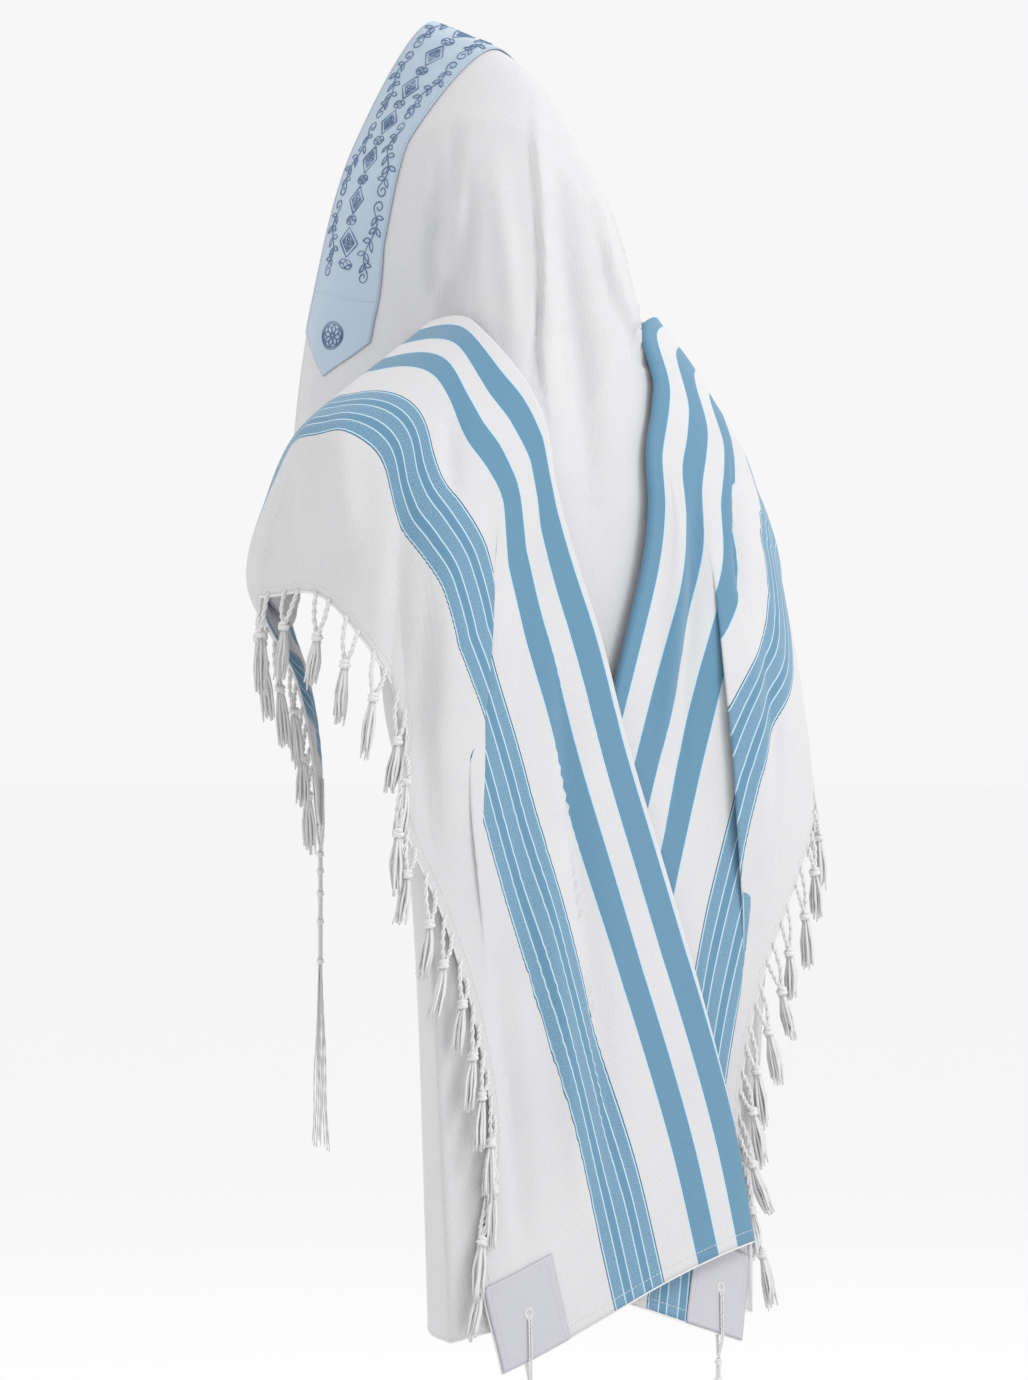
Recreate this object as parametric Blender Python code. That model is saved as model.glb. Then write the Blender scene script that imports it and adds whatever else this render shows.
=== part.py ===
"""Tallit prayer shawl, worn over the head with both sides thrown back over the shoulders.

Metres, +Z up. The wearer would face -Y, with their left at +X. The origin is the crown of the head,
where the cloth rests. One sheet of cloth is modelled in the stretches that show: the hood and back, and
on each side a wing, which is folded in on itself and hangs from the shoulder. All three are grids of
points with the same rows: row 0 runs along the face edge, and the last row is the hem.
"""

import math
from collections import namedtuple

import bmesh
import bpy
import numpy as np
from mathutils import Vector
from mathutils.bvhtree import BVHTree

# Cloth
CLOTH_HEIGHT = 1.5          # from the face edge to the hem
CLOTH_THICKNESS = 0.0016
SEAM_GAP = 0.0003
LAYER_STEP = 0.008          # from the middle of one layer of cloth to the middle of the next
WING_OUTWARD = 0.012        # from the draped form to the middle of a wing
WING_UNDER = -0.004         # and behind, where the right wing passes under the left
HOOD_CLEARANCE = 0.014      # from the hood's cloth to a wing over it
HOOD_DIP_SLOPE = 0.35       # how steeply the hood's cloth dips to pass under a wing
TURN_BULGE = 0.010          # how far the soft fold at the arm stands out
TURN_LEAD = 0.006           # how far the wing goes straight on from its seam
PLEAT_EDGE = 0.30           # the last share of a row, over which its pleat dies out
PLEAT_SIDE = 0.07           # and how far behind the arm it is whole
ROW_FALL = 1.25             # over 1, the rows leave the fold squarely and fall more steeply further on
HOOD_DIP_FLAT = 0.06        # how far round a wing's touch the full dip reaches

# Neckband and corner patches
NECKBAND_WIDTH = 0.108
NECKBAND_HALF_LENGTH = 0.405
NECKBAND_POINT = 0.042
NECKBAND_THICKNESS = 0.0012
CORNER_PATCH_SIDE = 0.088
PATCH_THICKNESS = 0.001
LAID_GAP = 0.0009
NECKBAND_GAP = 0.0014       # wider, for the hood's closer curve

# Fringe
TASSEL_PITCH = 0.047
TASSEL_FROM_CORNER = 0.1055
TASSEL_LEG_WIDTH = 0.007
TASSEL_LEG_SPREAD = 0.010   # from the middle of one leg to the middle of the tassel
TASSEL_LEG_LENGTH = 0.026
TASSEL_KNOT_RADIUS = 0.0058
TASSEL_KNOT_LENGTH = 0.012
TASSEL_LOCK_LENGTH = 0.052
TASSEL_LOCK_RADIUS = 0.0065
TASSEL_SWING = 0.52         # how much of the edge's own direction a hanging tassel keeps
FRINGE_STRIP_WIDTH = 0.003
FRINGE_GAP = 0.0015         # from the cloth's edge to the strip

# Corner cords
HOLE_INSET = 0.045          # from each edge of a corner to its eyelet
CORD_HALF_WIDTH = 0.0022
CORD_COLUMN_LENGTH = 0.11
CORD_COLUMN_RADIUS = 0.0032
CORD_STRAND_LENGTH = 0.20
CORD_STRAND_RADIUS = 0.0008
CORD_STRAND_SPREAD = 0.012
CORD_TOP_LAYER = 0.0036     # from the middle of the cloth to the underside of a cord on a patch
CORD_UNDER_LAYER = 0.0020   # and to the top of the cord under it
CORD_EDGE_CLEARANCE = 0.0130 # how far outside the cloth's edge the two legs of a cord meet

# Grid counts
BAND_ROWS = 4               # rows of faces under the neckband
LOWER_ROWS = 20
HALF_COLUMNS = 12           # on each half of the hood, with the ridge
UNDER_COLUMNS = 5
OVER_COLUMNS = (4, 8, 5)    # before the standing pleat, in it, and after it

Form = namedtuple("Form", "z middle left right chest back front back_squareness front_squareness")
Bow = namedtuple(
    "Bow", "ridge_y ridge_z temple_x temple_y temple_z neck_x neck_y neck_z foot_x foot_y foot_z"
)
WingRow = namedtuple("WingRow", "height fold_angle fold_z edge_angle edge_z turn_angle turn_z")
Pleat = namedtuple("Pleat", "x_top x_full x_bottom z_start z_full z_fade z_end height reach width spread")

# The draped form: level rings from the neck down, with half-widths and depths from their own middle, which
# lies further back at the shoulders. Chest is the half-width in front, where the cloth is drawn in.
FORM = (
    Form(-0.270, 0.045, 0.050, 0.140, 0.050, 0.097, 0.030, 2.5, 1.3),
    Form(-0.300, 0.045, 0.079, 0.165, 0.079, 0.111, 0.050, 2.5, 1.3),
    Form(-0.340, 0.055, 0.143, 0.196, 0.143, 0.115, 0.100, 2.6, 1.3),
    Form(-0.380, 0.065, 0.210, 0.222, 0.210, 0.113, 0.160, 2.7, 1.3),
    Form(-0.420, 0.072, 0.268, 0.251, 0.268, 0.112, 0.215, 2.8, 1.3),
    Form(-0.480, 0.050, 0.277, 0.277, 0.277, 0.142, 0.235, 3.2, 1.4),
    Form(-0.560, 0.020, 0.276, 0.300, 0.274, 0.180, 0.220, 3.8, 1.5),
    Form(-0.660, 0.000, 0.290, 0.321, 0.190, 0.207, 0.195, 4.3, 1.5),
    Form(-0.800, 0.000, 0.298, 0.332, 0.150, 0.215, 0.190, 4.5, 1.5),
    Form(-1.000, 0.000, 0.298, 0.280, 0.150, 0.225, 0.190, 4.5, 1.5),
    Form(-1.200, 0.000, 0.292, 0.250, 0.150, 0.233, 0.190, 4.5, 1.5),
    Form(-1.380, 0.000, 0.286, 0.244, 0.150, 0.238, 0.190, 4.5, 1.5),
)

# The hood and back: bows from the face edge, over the crown and down the back to the hem
BOWS = (
    Bow(-0.068, 0.028, 0.078, -0.100, -0.102, 0.091, -0.156, -0.265, 0.100, -0.200, -0.580),
    Bow(-0.018, 0.010, 0.088, -0.045, -0.102, 0.106, -0.088, -0.262, 0.135, -0.150, -0.570),
    Bow(0.036, -0.010, 0.092, 0.010, -0.105, 0.112, -0.030, -0.262, 0.172, -0.100, -0.540),
    Bow(0.086, -0.048, 0.090, 0.058, -0.118, 0.112, 0.035, -0.262, 0.200, -0.050, -0.500),
    Bow(0.121, -0.135, 0.082, 0.100, -0.160, 0.113, 0.082, -0.275, 0.206, 0.020, -0.480),
    Bow(0.148, -0.235, 0.085, 0.135, -0.250, 0.130, 0.112, -0.305, 0.202, 0.075, -0.480),
    Bow(0.163, -0.360, 0.088, 0.160, -0.362, 0.152, 0.140, -0.385, 0.198, 0.105, -0.520),
    Bow(0.180, -0.540, 0.090, 0.178, -0.540, 0.158, 0.165, -0.545, 0.194, 0.128, -0.600),
    Bow(0.193, -0.760, 0.090, 0.191, -0.760, 0.160, 0.180, -0.764, 0.190, 0.143, -0.790),
    Bow(0.204, -1.000, 0.090, 0.202, -1.000, 0.160, 0.192, -1.003, 0.188, 0.155, -1.020),
    Bow(0.213, -1.275, 0.090, 0.212, -1.277, 0.160, 0.203, -1.281, 0.188, 0.166, -1.295),
)

# Each wing, from the hem at the back to its end in front. Height is along the cloth from the hem, and
# angles are round the body, 0 at the arm and 90 behind. Fold is where the wing turns back on itself,
# edge is its fringed edge, and turn is where its under layer comes round from the back.
LEFT_WING = (
    WingRow(0.00, 126.0, -1.236, 55.5, -1.345, 46.0, -1.312),
    WingRow(0.12, 120.5, -1.110, 51.0, -1.230, 45.0, -1.190),
    WingRow(0.24, 113.5, -0.990, 53.7, -1.120, 44.0, -1.080),
    WingRow(0.37, 104.0, -0.860, 51.0, -1.010, 43.0, -0.960),
    WingRow(0.51, 93.0, -0.730, 45.0, -0.900, 41.0, -0.830),
    WingRow(0.65, 83.0, -0.600, 37.5, -0.790, 37.0, -0.700),
    WingRow(0.79, 66.5, -0.470, 38.0, -0.690, 29.0, -0.590),
    WingRow(0.91, 52.0, -0.365, 27.0, -0.610, 22.0, -0.520),
    WingRow(1.00, 31.0, -0.306, 17.0, -0.575, 13.0, -0.500),
    WingRow(1.09, -6.0, -0.309, 6.0, -0.575, 4.0, -0.490),
    WingRow(1.18, -32.0, -0.352, -6.0, -0.585, -8.0, -0.510),
    WingRow(1.28, -46.0, -0.410, -22.0, -0.645, -22.0, -0.540),
    WingRow(1.39, -53.0, -0.480, -38.0, -0.765, -36.0, -0.570),
    WingRow(1.50, -60.0, -0.560, -62.0, -0.840, -51.0, -0.600),
)
RIGHT_WING = (
    WingRow(0.00, 123.0, -1.252, 54.0, -1.338, 46.0, -1.312),
    WingRow(0.12, 119.0, -1.120, 50.5, -1.225, 45.0, -1.190),
    WingRow(0.24, 112.0, -0.990, 53.0, -1.110, 44.0, -1.080),
    WingRow(0.37, 103.0, -0.860, 49.0, -1.010, 43.0, -0.960),
    WingRow(0.51, 91.5, -0.730, 40.0, -0.900, 41.0, -0.830),
    WingRow(0.65, 77.0, -0.600, 28.0, -0.790, 37.0, -0.700),
    WingRow(0.79, 58.5, -0.470, 16.0, -0.700, 29.0, -0.590),
    WingRow(0.91, 46.0, -0.365, 6.0, -0.650, 22.0, -0.520),
    WingRow(1.00, 40.0, -0.300, 0.0, -0.620, 13.0, -0.500),
    WingRow(1.09, 8.0, -0.297, -6.0, -0.610, 4.0, -0.490),
    WingRow(1.18, -20.0, -0.310, -14.0, -0.610, -8.0, -0.510),
    WingRow(1.28, -37.0, -0.350, -24.0, -0.650, -22.0, -0.540),
    WingRow(1.39, -48.0, -0.445, -39.0, -0.765, -35.0, -0.570),
    WingRow(1.50, -58.0, -0.550, -62.0, -0.840, -50.0, -0.600),
)

# Standing pleats of the wings, whose outer side overhangs the inner
LEFT_PLEATS = (Pleat(0.105, 0.168, 0.176, -0.39, -0.70, -0.95, -1.14, 0.024, 0.040, 0.045, 0.085),)
RIGHT_PLEATS = (Pleat(0.135, 0.164, 0.175, -0.42, -0.74, -0.94, -1.12, 0.024, 0.046, 0.046, 0.085),)


def blend_step(x):
    """0 below 0, 1 above 1, and smooth between."""
    x = np.clip(x, 0.0, 1.0)
    return x * x * (3.0 - 2.0 * x)


def through(stations, values, at):
    """Values at the places `at`, on a smooth curve through the values at the stations."""
    stations = np.asarray(stations, float)
    values = np.asarray(values, float).reshape(len(stations), -1)
    steps = np.diff(stations)[:, None]
    rises = np.diff(values, axis=0) / steps
    slopes = np.empty_like(values)
    slopes[0] = rises[0]
    slopes[-1] = rises[-1]
    slopes[1:-1] = (rises[:-1] * steps[1:] + rises[1:] * steps[:-1]) / (steps[1:] + steps[:-1])
    at = np.clip(np.asarray(at, float), stations[0], stations[-1])
    k = np.clip(np.searchsorted(stations, at, side="right") - 1, 0, len(steps) - 1)
    h = steps[k]
    t = ((at - stations[k])[:, None]) / h
    start = (1 + 2 * t) * (1 - t) ** 2 * values[k] + t * (1 - t) ** 2 * h * slopes[k]
    end = t * t * (3 - 2 * t) * values[k + 1] + t * t * (t - 1) * h * slopes[k + 1]
    return start + end


def run_along(line):
    """The distance along a line to each of its points."""
    return np.concatenate([[0.0], np.cumsum(np.linalg.norm(np.diff(line, axis=0), axis=1))])


def resampled(line, count):
    """The same line with evenly spaced points."""
    run = run_along(line)
    return through(run, line, np.linspace(0.0, run[-1], count))


def unit(v):
    return v / np.linalg.norm(v, axis=-1, keepdims=True)


# The draped form

FORM_DROPS = np.array([-ring.z for ring in FORM])
LEFT_SLOPES = np.diff([ring.left for ring in FORM]) / np.diff(FORM_DROPS)
RIGHT_SLOPES = np.diff([ring.right for ring in FORM]) / np.diff(FORM_DROPS)
MERIDIAN = run_along(np.array([(ring.left, ring.z) for ring in FORM]))


def form_normal(angle, z):
    """The form's outward direction, which tips upward on the shoulders."""
    c = math.cos(math.radians(angle))
    s = math.sin(math.radians(angle))
    tilt = math.atan(max(float(np.interp(-z, FORM_DROPS[1:], LEFT_SLOPES if c > 0 else RIGHT_SLOPES)), 0.0))
    return np.array([math.cos(tilt) * c, math.cos(tilt) * s, math.sin(tilt)])


def form_point(angle, z):
    """A point of the draped form at an angle round the body."""
    ring = Form(z, *through(FORM_DROPS, [r[1:] for r in FORM], [-z])[0])
    c = math.cos(math.radians(angle))
    s = math.sin(math.radians(angle))
    side = ring.left if c > 0 else ring.right
    if s < 0:
        side *= ring.chest / ring.left
    depth = ring.back if s > 0 else ring.front
    power = ring.back_squareness if s > 0 else ring.front_squareness
    radius = (abs(c / side) ** power + abs(s / depth) ** power) ** (-1 / power)
    return np.array([radius * c, ring.middle + radius * s, z])


# Wings

def row_heights():
    """Heights of the rows above the hem, from the face edge down. The first rows lie under the neckband."""
    band = np.linspace(0.0, NECKBAND_WIDTH, BAND_ROWS + 1)
    lower = np.linspace(NECKBAND_WIDTH, CLOTH_HEIGHT, LOWER_ROWS + 1)
    return CLOTH_HEIGHT - np.concatenate([band, lower[1:]])


def pleat_lip(pleat, z):
    """Where a pleat's overhanging lip stands at a level."""
    return np.interp(
        -z, (-pleat.z_start, -pleat.z_full, -pleat.z_end), (pleat.x_top, pleat.x_full, pleat.x_bottom)
    )


def pleated(point, normal, side, outward, pleats, share):
    """A point of the form moved outward, and shifted and lifted by the pleats, which die out at the edge."""
    x, y, z = point
    shift = 0.0
    lift = 0.0
    for pleat in pleats if y > 0 else ():
        rise = blend_step((pleat.z_start - z) / (pleat.z_start - pleat.z_full))
        fade = 1.0 - blend_step((pleat.z_fade - z) / (pleat.z_fade - pleat.z_end))
        amount = float(rise * fade * blend_step((1.0 - share) / PLEAT_EDGE) * blend_step(y / PLEAT_SIDE))
        beyond = side * x - float(pleat_lip(pleat, z))
        turn = float(np.clip(beyond / pleat.width, -1.0, 1.0))
        shift -= amount * pleat.reach * math.sin(math.pi * turn) * math.cos(math.pi * turn / 2) ** 2
        fall = 1.0 - blend_step((beyond - pleat.width) / pleat.spread)
        lift += amount * pleat.height * float(blend_step((turn + 1) / 2) * fall)
    return np.array([x + side * shift, y, z]) + normal * (outward + lift)


def outward_at(angle, side, layer):
    """How far from the form a layer of a wing lies, at an angle round the body."""
    behind = float(blend_step((angle - 20.0) / 40.0)) if side < 0 else 0.0
    return WING_OUTWARD + (WING_UNDER - WING_OUTWARD) * behind + layer * LAYER_STEP / 2


def wing_line(row, end_angle, end_z, side, layer, pleats):
    """A closely spaced line over the form, from the wing's fold to another place."""
    start_run, end_run = np.interp([-row.fold_z, -end_z], FORM_DROPS, MERIDIAN)
    line = []
    for share in np.linspace(0.0, 1.0, 90):
        z = -float(np.interp(start_run + (end_run - start_run) * share**ROW_FALL, MERIDIAN, FORM_DROPS))
        angle = row.fold_angle + (end_angle - row.fold_angle) * share
        outward = outward_at(angle, side, layer)
        if side < 0:
            angle = 180.0 - angle
        line.append(pleated(form_point(angle, z), form_normal(angle, z), side, outward, pleats, share))
    return np.array(line)


def pleat_places(row, side, pleats, line):
    """Shares of a row's length at which its standing pleat starts and ends."""
    flat = wing_line(row, row.edge_angle, row.edge_z, side, 1, ())
    run = run_along(line)
    pleat = pleats[0]
    places = []
    for edge in (-1.0, 1.0):
        lip = pleat_lip(pleat, flat[:, 2]) + edge * pleat.width
        inner = (side * flat[:, 0] < lip) & (flat[:, 1] > 0)
        places.append(run[max(int(inner.sum()) - 1, 0)] / run[-1])
    return places


def split_line(line, shares):
    """The line with OVER_COLUMNS points before, in and after the stretch between two shares of its length."""
    run = run_along(line)
    marks = [0.0, *shares, 1.0]
    places = [np.linspace(a, b, n + 1)[:-1] for a, b, n in zip(marks, marks[1:], OVER_COLUMNS)]
    return through(run, line, np.concatenate(places + [[1.0]]) * run[-1])


def smoothed(values, passes):
    """Rows of values, each drawn towards its neighbours."""
    for _ in range(passes):
        padded = np.concatenate([values[:1], values, values[-1:]])
        values = (padded[:-2] + 2 * padded[1:-1] + padded[2:]) / 4
    return values


def wing_layers(table, side, pleats):
    """A wing without its seam: rows from the front end to the hem, columns from the turn to the fringed edge."""
    rows = []
    heights = [row.height for row in table]
    read = [WingRow(*values) for values in through(heights, table, row_heights())]
    overs = [wing_line(row, row.edge_angle, row.edge_z, side, 1, pleats) for row in read]
    shares = np.array([pleat_places(row, side, pleats, line) for row, line in zip(read, overs)])
    shares = smoothed(np.clip(shares, (0.08, 0.24), (0.76, 0.92)), 2)
    for row, over, places in zip(read, overs, shares):
        under = wing_line(row, row.turn_angle, row.turn_z, side, -1, ())
        under = resampled(under, UNDER_COLUMNS)
        over = split_line(over, places)
        bend = (under[0] + over[0]) / 2 + unit(over[0] - over[1]) * LAYER_STEP / 2
        rows.append(np.concatenate([under[::-1], [bend], over]))
    return np.array(rows)


def seamed(wing, hood_foot):
    """The wing with its seam: from the hood's foot round the soft fold at the arm to the under layer."""
    away = unit(wing[:, 0] - wing[:, 1])
    onward = unit(hood_foot[0] - hood_foot[1])
    start = hood_foot[0] + onward * SEAM_GAP
    lead = start + onward * TURN_LEAD
    bend = (lead + wing[:, 0]) / 2 + away * TURN_BULGE
    return np.concatenate([start[:, None], lead[:, None], bend[:, None], wing], axis=1)


# Hood and back

def bow_line(bow, count):
    """Half a bow, from the ridge to the left foot, with evenly spaced points."""
    ridge = (0.0, bow.ridge_y, bow.ridge_z)
    temple = (bow.temple_x, bow.temple_y, bow.temple_z)
    neck = (bow.neck_x, bow.neck_y, bow.neck_z)
    foot = (bow.foot_x, bow.foot_y, bow.foot_z)
    mirrored = (-bow.temple_x, bow.temple_y, bow.temple_z)
    points = np.array([mirrored, ridge, temple, neck, foot])
    run = run_along(points)
    return resampled(through(run, points, np.linspace(run[1], run[-1], 60)), count)


def hood_sheet():
    """The hood and back before the wings press on it: columns from the right foot to the left."""
    bows = np.array([bow_line(bow, HALF_COLUMNS) for bow in BOWS])
    columns = []
    for k in range(HALF_COLUMNS):
        run = run_along(bows[:, k])
        below = (CLOTH_HEIGHT - row_heights()[BAND_ROWS:] - NECKBAND_WIDTH) / (CLOTH_HEIGHT - NECKBAND_WIDTH)
        places = np.concatenate(
            [np.linspace(0, NECKBAND_WIDTH, BAND_ROWS + 1)[:-1], NECKBAND_WIDTH + (run[-1] - NECKBAND_WIDTH) * below]
        )
        columns.append(through(run, bows[:, k], places))
    left = np.array(columns).transpose(1, 0, 2)
    right = left[:, :0:-1] * np.array([-1.0, 1.0, 1.0])
    return np.concatenate([right, left], axis=1)


def grid_tree(grid):
    """A search tree of a grid's faces."""
    columns = grid.shape[1]
    quads = []
    for r in range(grid.shape[0] - 1):
        for c in range(columns - 1):
            a = r * columns + c
            quads.append((a, a + 1, a + columns + 1, a + columns))
    return BVHTree.FromPolygons([tuple(p) for p in grid.reshape(-1, 3)], quads)


def pressed_in(sheet, wings):
    """The hood's sheet, moved inward wherever it would touch a wing, with a soft dip round each such place."""
    trees = [grid_tree(wing) for wing in wings]
    points = sheet.reshape(-1, 3)
    reach = 0.08
    outward = []
    moves = []
    for x, y, z in points:
        normal = form_normal(math.degrees(math.atan2(y, x)), min(z, -0.27))
        outward.append(normal)
        start = np.array([x, y, z]) - normal * reach
        gap = reach
        for tree in trees:
            hit = tree.ray_cast(Vector(start), Vector(normal), reach * 2)
            if hit[0] is not None and z < -0.2:
                gap = min(gap, hit[3] - reach)
        moves.append(max(0.0, HOOD_CLEARANCE - gap))
    moves = np.array(moves)
    spread = np.zeros(len(points))
    for k in np.nonzero(moves)[0]:
        near = moves[k] - HOOD_DIP_SLOPE * np.maximum(np.linalg.norm(points - points[k], axis=1) - HOOD_DIP_FLAT, 0)
        spread = np.maximum(spread, near)
    return (points - np.array(outward) * spread[:, None]).reshape(sheet.shape)


# Pieces that lie on the cloth

def sample(grid, row, column):
    """A point of a grid, or of its normals, between its rows and columns."""
    r = min(int(row), grid.shape[0] - 2)
    c = min(int(column), grid.shape[1] - 2)
    a = row - r
    b = column - c
    near = grid[r, c] * (1 - b) + grid[r, c + 1] * b
    far = grid[r + 1, c] * (1 - b) + grid[r + 1, c + 1] * b
    return near * (1 - a) + far * a


def place_at(line, distance):
    """The fractional index at a distance along a line."""
    return float(np.interp(distance, run_along(line), range(len(line))))


def laid_piece(grid, normals, places, thickness, gap=LAID_GAP):
    """A thin piece on a wall's outer side. Places holds a (row, column) of the wall for each of its points."""
    points = np.array([[sample(grid, *place) for place in row] for row in places])
    directions = unit(np.array([[sample(normals, *place) for place in row] for row in places]))
    inner = CLOTH_THICKNESS / 2 + gap
    return wall(points, directions, inner, inner + thickness)


def neckband(grid, normals):
    """The neckband, along the face edge from one pointed end to the other."""
    edge = grid[0]
    run = run_along(edge)
    middle = run[-1] / 2
    straight = NECKBAND_HALF_LENGTH - NECKBAND_POINT
    inner = [c for c in range(len(edge)) if abs(run[c] - middle) < straight - 0.01]
    places = []
    for row in range(BAND_ROWS + 1):
        reach = NECKBAND_HALF_LENGTH - NECKBAND_POINT * abs(2 * row / BAND_ROWS - 1)
        first = place_at(edge, middle - reach)
        last = place_at(edge, middle + reach)
        places.append([(row, c) for c in [first, *inner, last]])
    return laid_piece(grid, normals, places, NECKBAND_THICKNESS, NECKBAND_GAP)


def corner_stations(line, start, end):
    """Fractional indices along a line from one distance to another, with the whole ones between."""
    first = place_at(line, start)
    last = place_at(line, end)
    whole = [k for k in range(len(line)) if first + 0.2 < k < last - 0.2]
    return [first, *whole, last]


def corner_patch(grid, normals):
    """The square patch at a wing's corner, whose first row and first column are the grid's own."""
    inset = 0.001
    rows = corner_stations(grid[:, 0], inset, CORNER_PATCH_SIDE)
    columns = corner_stations(grid[0], inset, CORNER_PATCH_SIDE)
    return laid_piece(grid, normals, [[(r, c) for c in columns] for r in rows], PATCH_THICKNESS)


# Fringe

def tassel_frame(out, tangent, normal):
    """The direction in which a tassel hangs, and its sideways and outward directions."""
    hang = unit(np.array([0.0, 0.0, -1.0]) + TASSEL_SWING * out)
    side = unit(tangent - hang * (tangent @ hang))
    front = np.cross(hang, side)
    if front @ normal < 0:
        front = -front
    return hang, side, front


def tassel_rings(start, hang, side, front):
    """The knot's rings of six points and the lock's rings of four."""
    knot = []
    for drop, radius in ((0.0, 0.7), (0.5, 1.2), (1.0, 0.7)):
        centre = start + hang * (TASSEL_LEG_LENGTH + drop * TASSEL_KNOT_LENGTH) + front * TASSEL_KNOT_RADIUS
        r = radius * TASSEL_KNOT_RADIUS
        knot.append([centre + side * a * r + front * b * r for a, b in
                     ((-1, 0.6), (0, 1), (1, 0.6), (1, -0.6), (0, -1), (-1, -0.6))])
    lock = []
    for drop, radius in ((0.3, 1.0), (1.0, 0.8)):
        reach = TASSEL_LEG_LENGTH + TASSEL_KNOT_LENGTH + drop * TASSEL_LOCK_LENGTH
        centre = start + hang * reach + front * TASSEL_KNOT_RADIUS * (1 + 0.4 * drop)
        r = radius * TASSEL_LOCK_RADIUS
        lock.append([centre + front * r, centre + side * r, centre - front * r, centre - side * r])
    return knot, lock


def fringe(grid, normals):
    """The knotted fringe of a wing's last column: tassels of two legs, a knot and a lock, on one strip."""
    edge = grid[:, -1]
    run = run_along(edge)
    outs = unit(grid[:, -1] - grid[:, -2])
    length = run[-1] - 2 * TASSEL_FROM_CORNER
    count = int(round(length / TASSEL_PITCH))
    middles = TASSEL_FROM_CORNER + (np.arange(count) + 0.5) * length / count
    offsets = (-TASSEL_LEG_SPREAD, TASSEL_LEG_SPREAD)
    half = TASSEL_LEG_WIDTH / 2
    places = [m + o + h for m in middles for o in offsets for h in (-half, half)]
    vertices = []
    faces = []

    def at(values, place):
        return np.array([np.interp(place, run, values[:, k]) for k in range(3)])

    for place in places:
        point = at(edge, place)
        out = unit(at(outs, place))
        normal = unit(at(normals[:, -1], place)) * CLOTH_THICKNESS / 2
        for reach in (FRINGE_GAP, FRINGE_GAP + FRINGE_STRIP_WIDTH):
            vertices += [point + out * reach + normal, point + out * reach - normal]
    for k in range(len(places) - 1):
        a = 4 * k
        b = a + 4
        faces += [(a, b, b + 1, a + 1), (a, b, b + 2, a + 2), (a + 1, b + 1, b + 3, a + 3)]
        if k % 2:
            faces.append((a + 2, b + 2, b + 3, a + 3))
    last = 4 * (len(places) - 1)
    faces += [(0, 1, 3, 2), (last, last + 1, last + 3, last + 2)]
    for k, middle in enumerate(middles):
        out = unit(at(outs, middle))
        tangent = unit(at(edge, middle + half) - at(edge, middle - half))
        hang, side, front = tassel_frame(out, tangent, at(normals[:, -1], middle))
        knot, lock = tassel_rings(at(edge, middle) + out * FRINGE_STRIP_WIDTH, hang, side, front)
        root = [16 * k + 4 * m + 2 for m in range(4)]
        base = len(vertices)
        for ring in knot + lock:
            vertices += ring
        lf, mf, rf, rb, mb, lb = range(base, base + 6)
        s1, s2, s3, s4 = root
        faces += [(s1, s2, mf, lf), (s1 + 1, s2 + 1, mb, lb), (s1, s1 + 1, lb, lf), (s2, s2 + 1, mb, mf)]
        faces += [(s3, s4, rf, mf), (s3 + 1, s4 + 1, rb, mb), (s4, s4 + 1, rb, rf), (s3, s3 + 1, mb, mf)]
        for ring in range(len(knot) - 1):
            a = base + 6 * ring
            faces += [(a + m, a + (m + 1) % 6, a + 6 + (m + 1) % 6, a + 6 + m) for m in range(6)]
        lf, mf, rf, rb, mb, lb = range(base + 6 * (len(knot) - 1), base + 6 * len(knot))
        f, r, b, l = range(base + 6 * len(knot), base + 6 * len(knot) + 4)
        faces += [(lf, mf, f, l), (mf, rf, r, f), (rf, rb, r), (rb, mb, b, r), (mb, lb, l, b), (lb, lf, l)]
        faces += [(f, r, r + 4, f + 4), (r, b, b + 4, r + 4), (b, l, l + 4, b + 4), (l, f, f + 4, l + 4)]
        faces.append((f + 4, r + 4, b + 4, l + 4))
    return np.array(vertices), faces


# Corner cords

def fan(ring, chains):
    """Triangles between the edges of a ring and the finer chain of points under each."""
    faces = []
    for k, chain in enumerate(chains):
        a = ring[k]
        b = ring[(k + 1) % len(ring)]
        half = len(chain) // 2
        for m in range(len(chain) - 1):
            faces.append((a if m < half else b, chain[m], chain[m + 1]))
        faces.append((a, b, chain[half]))
    return faces


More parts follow.
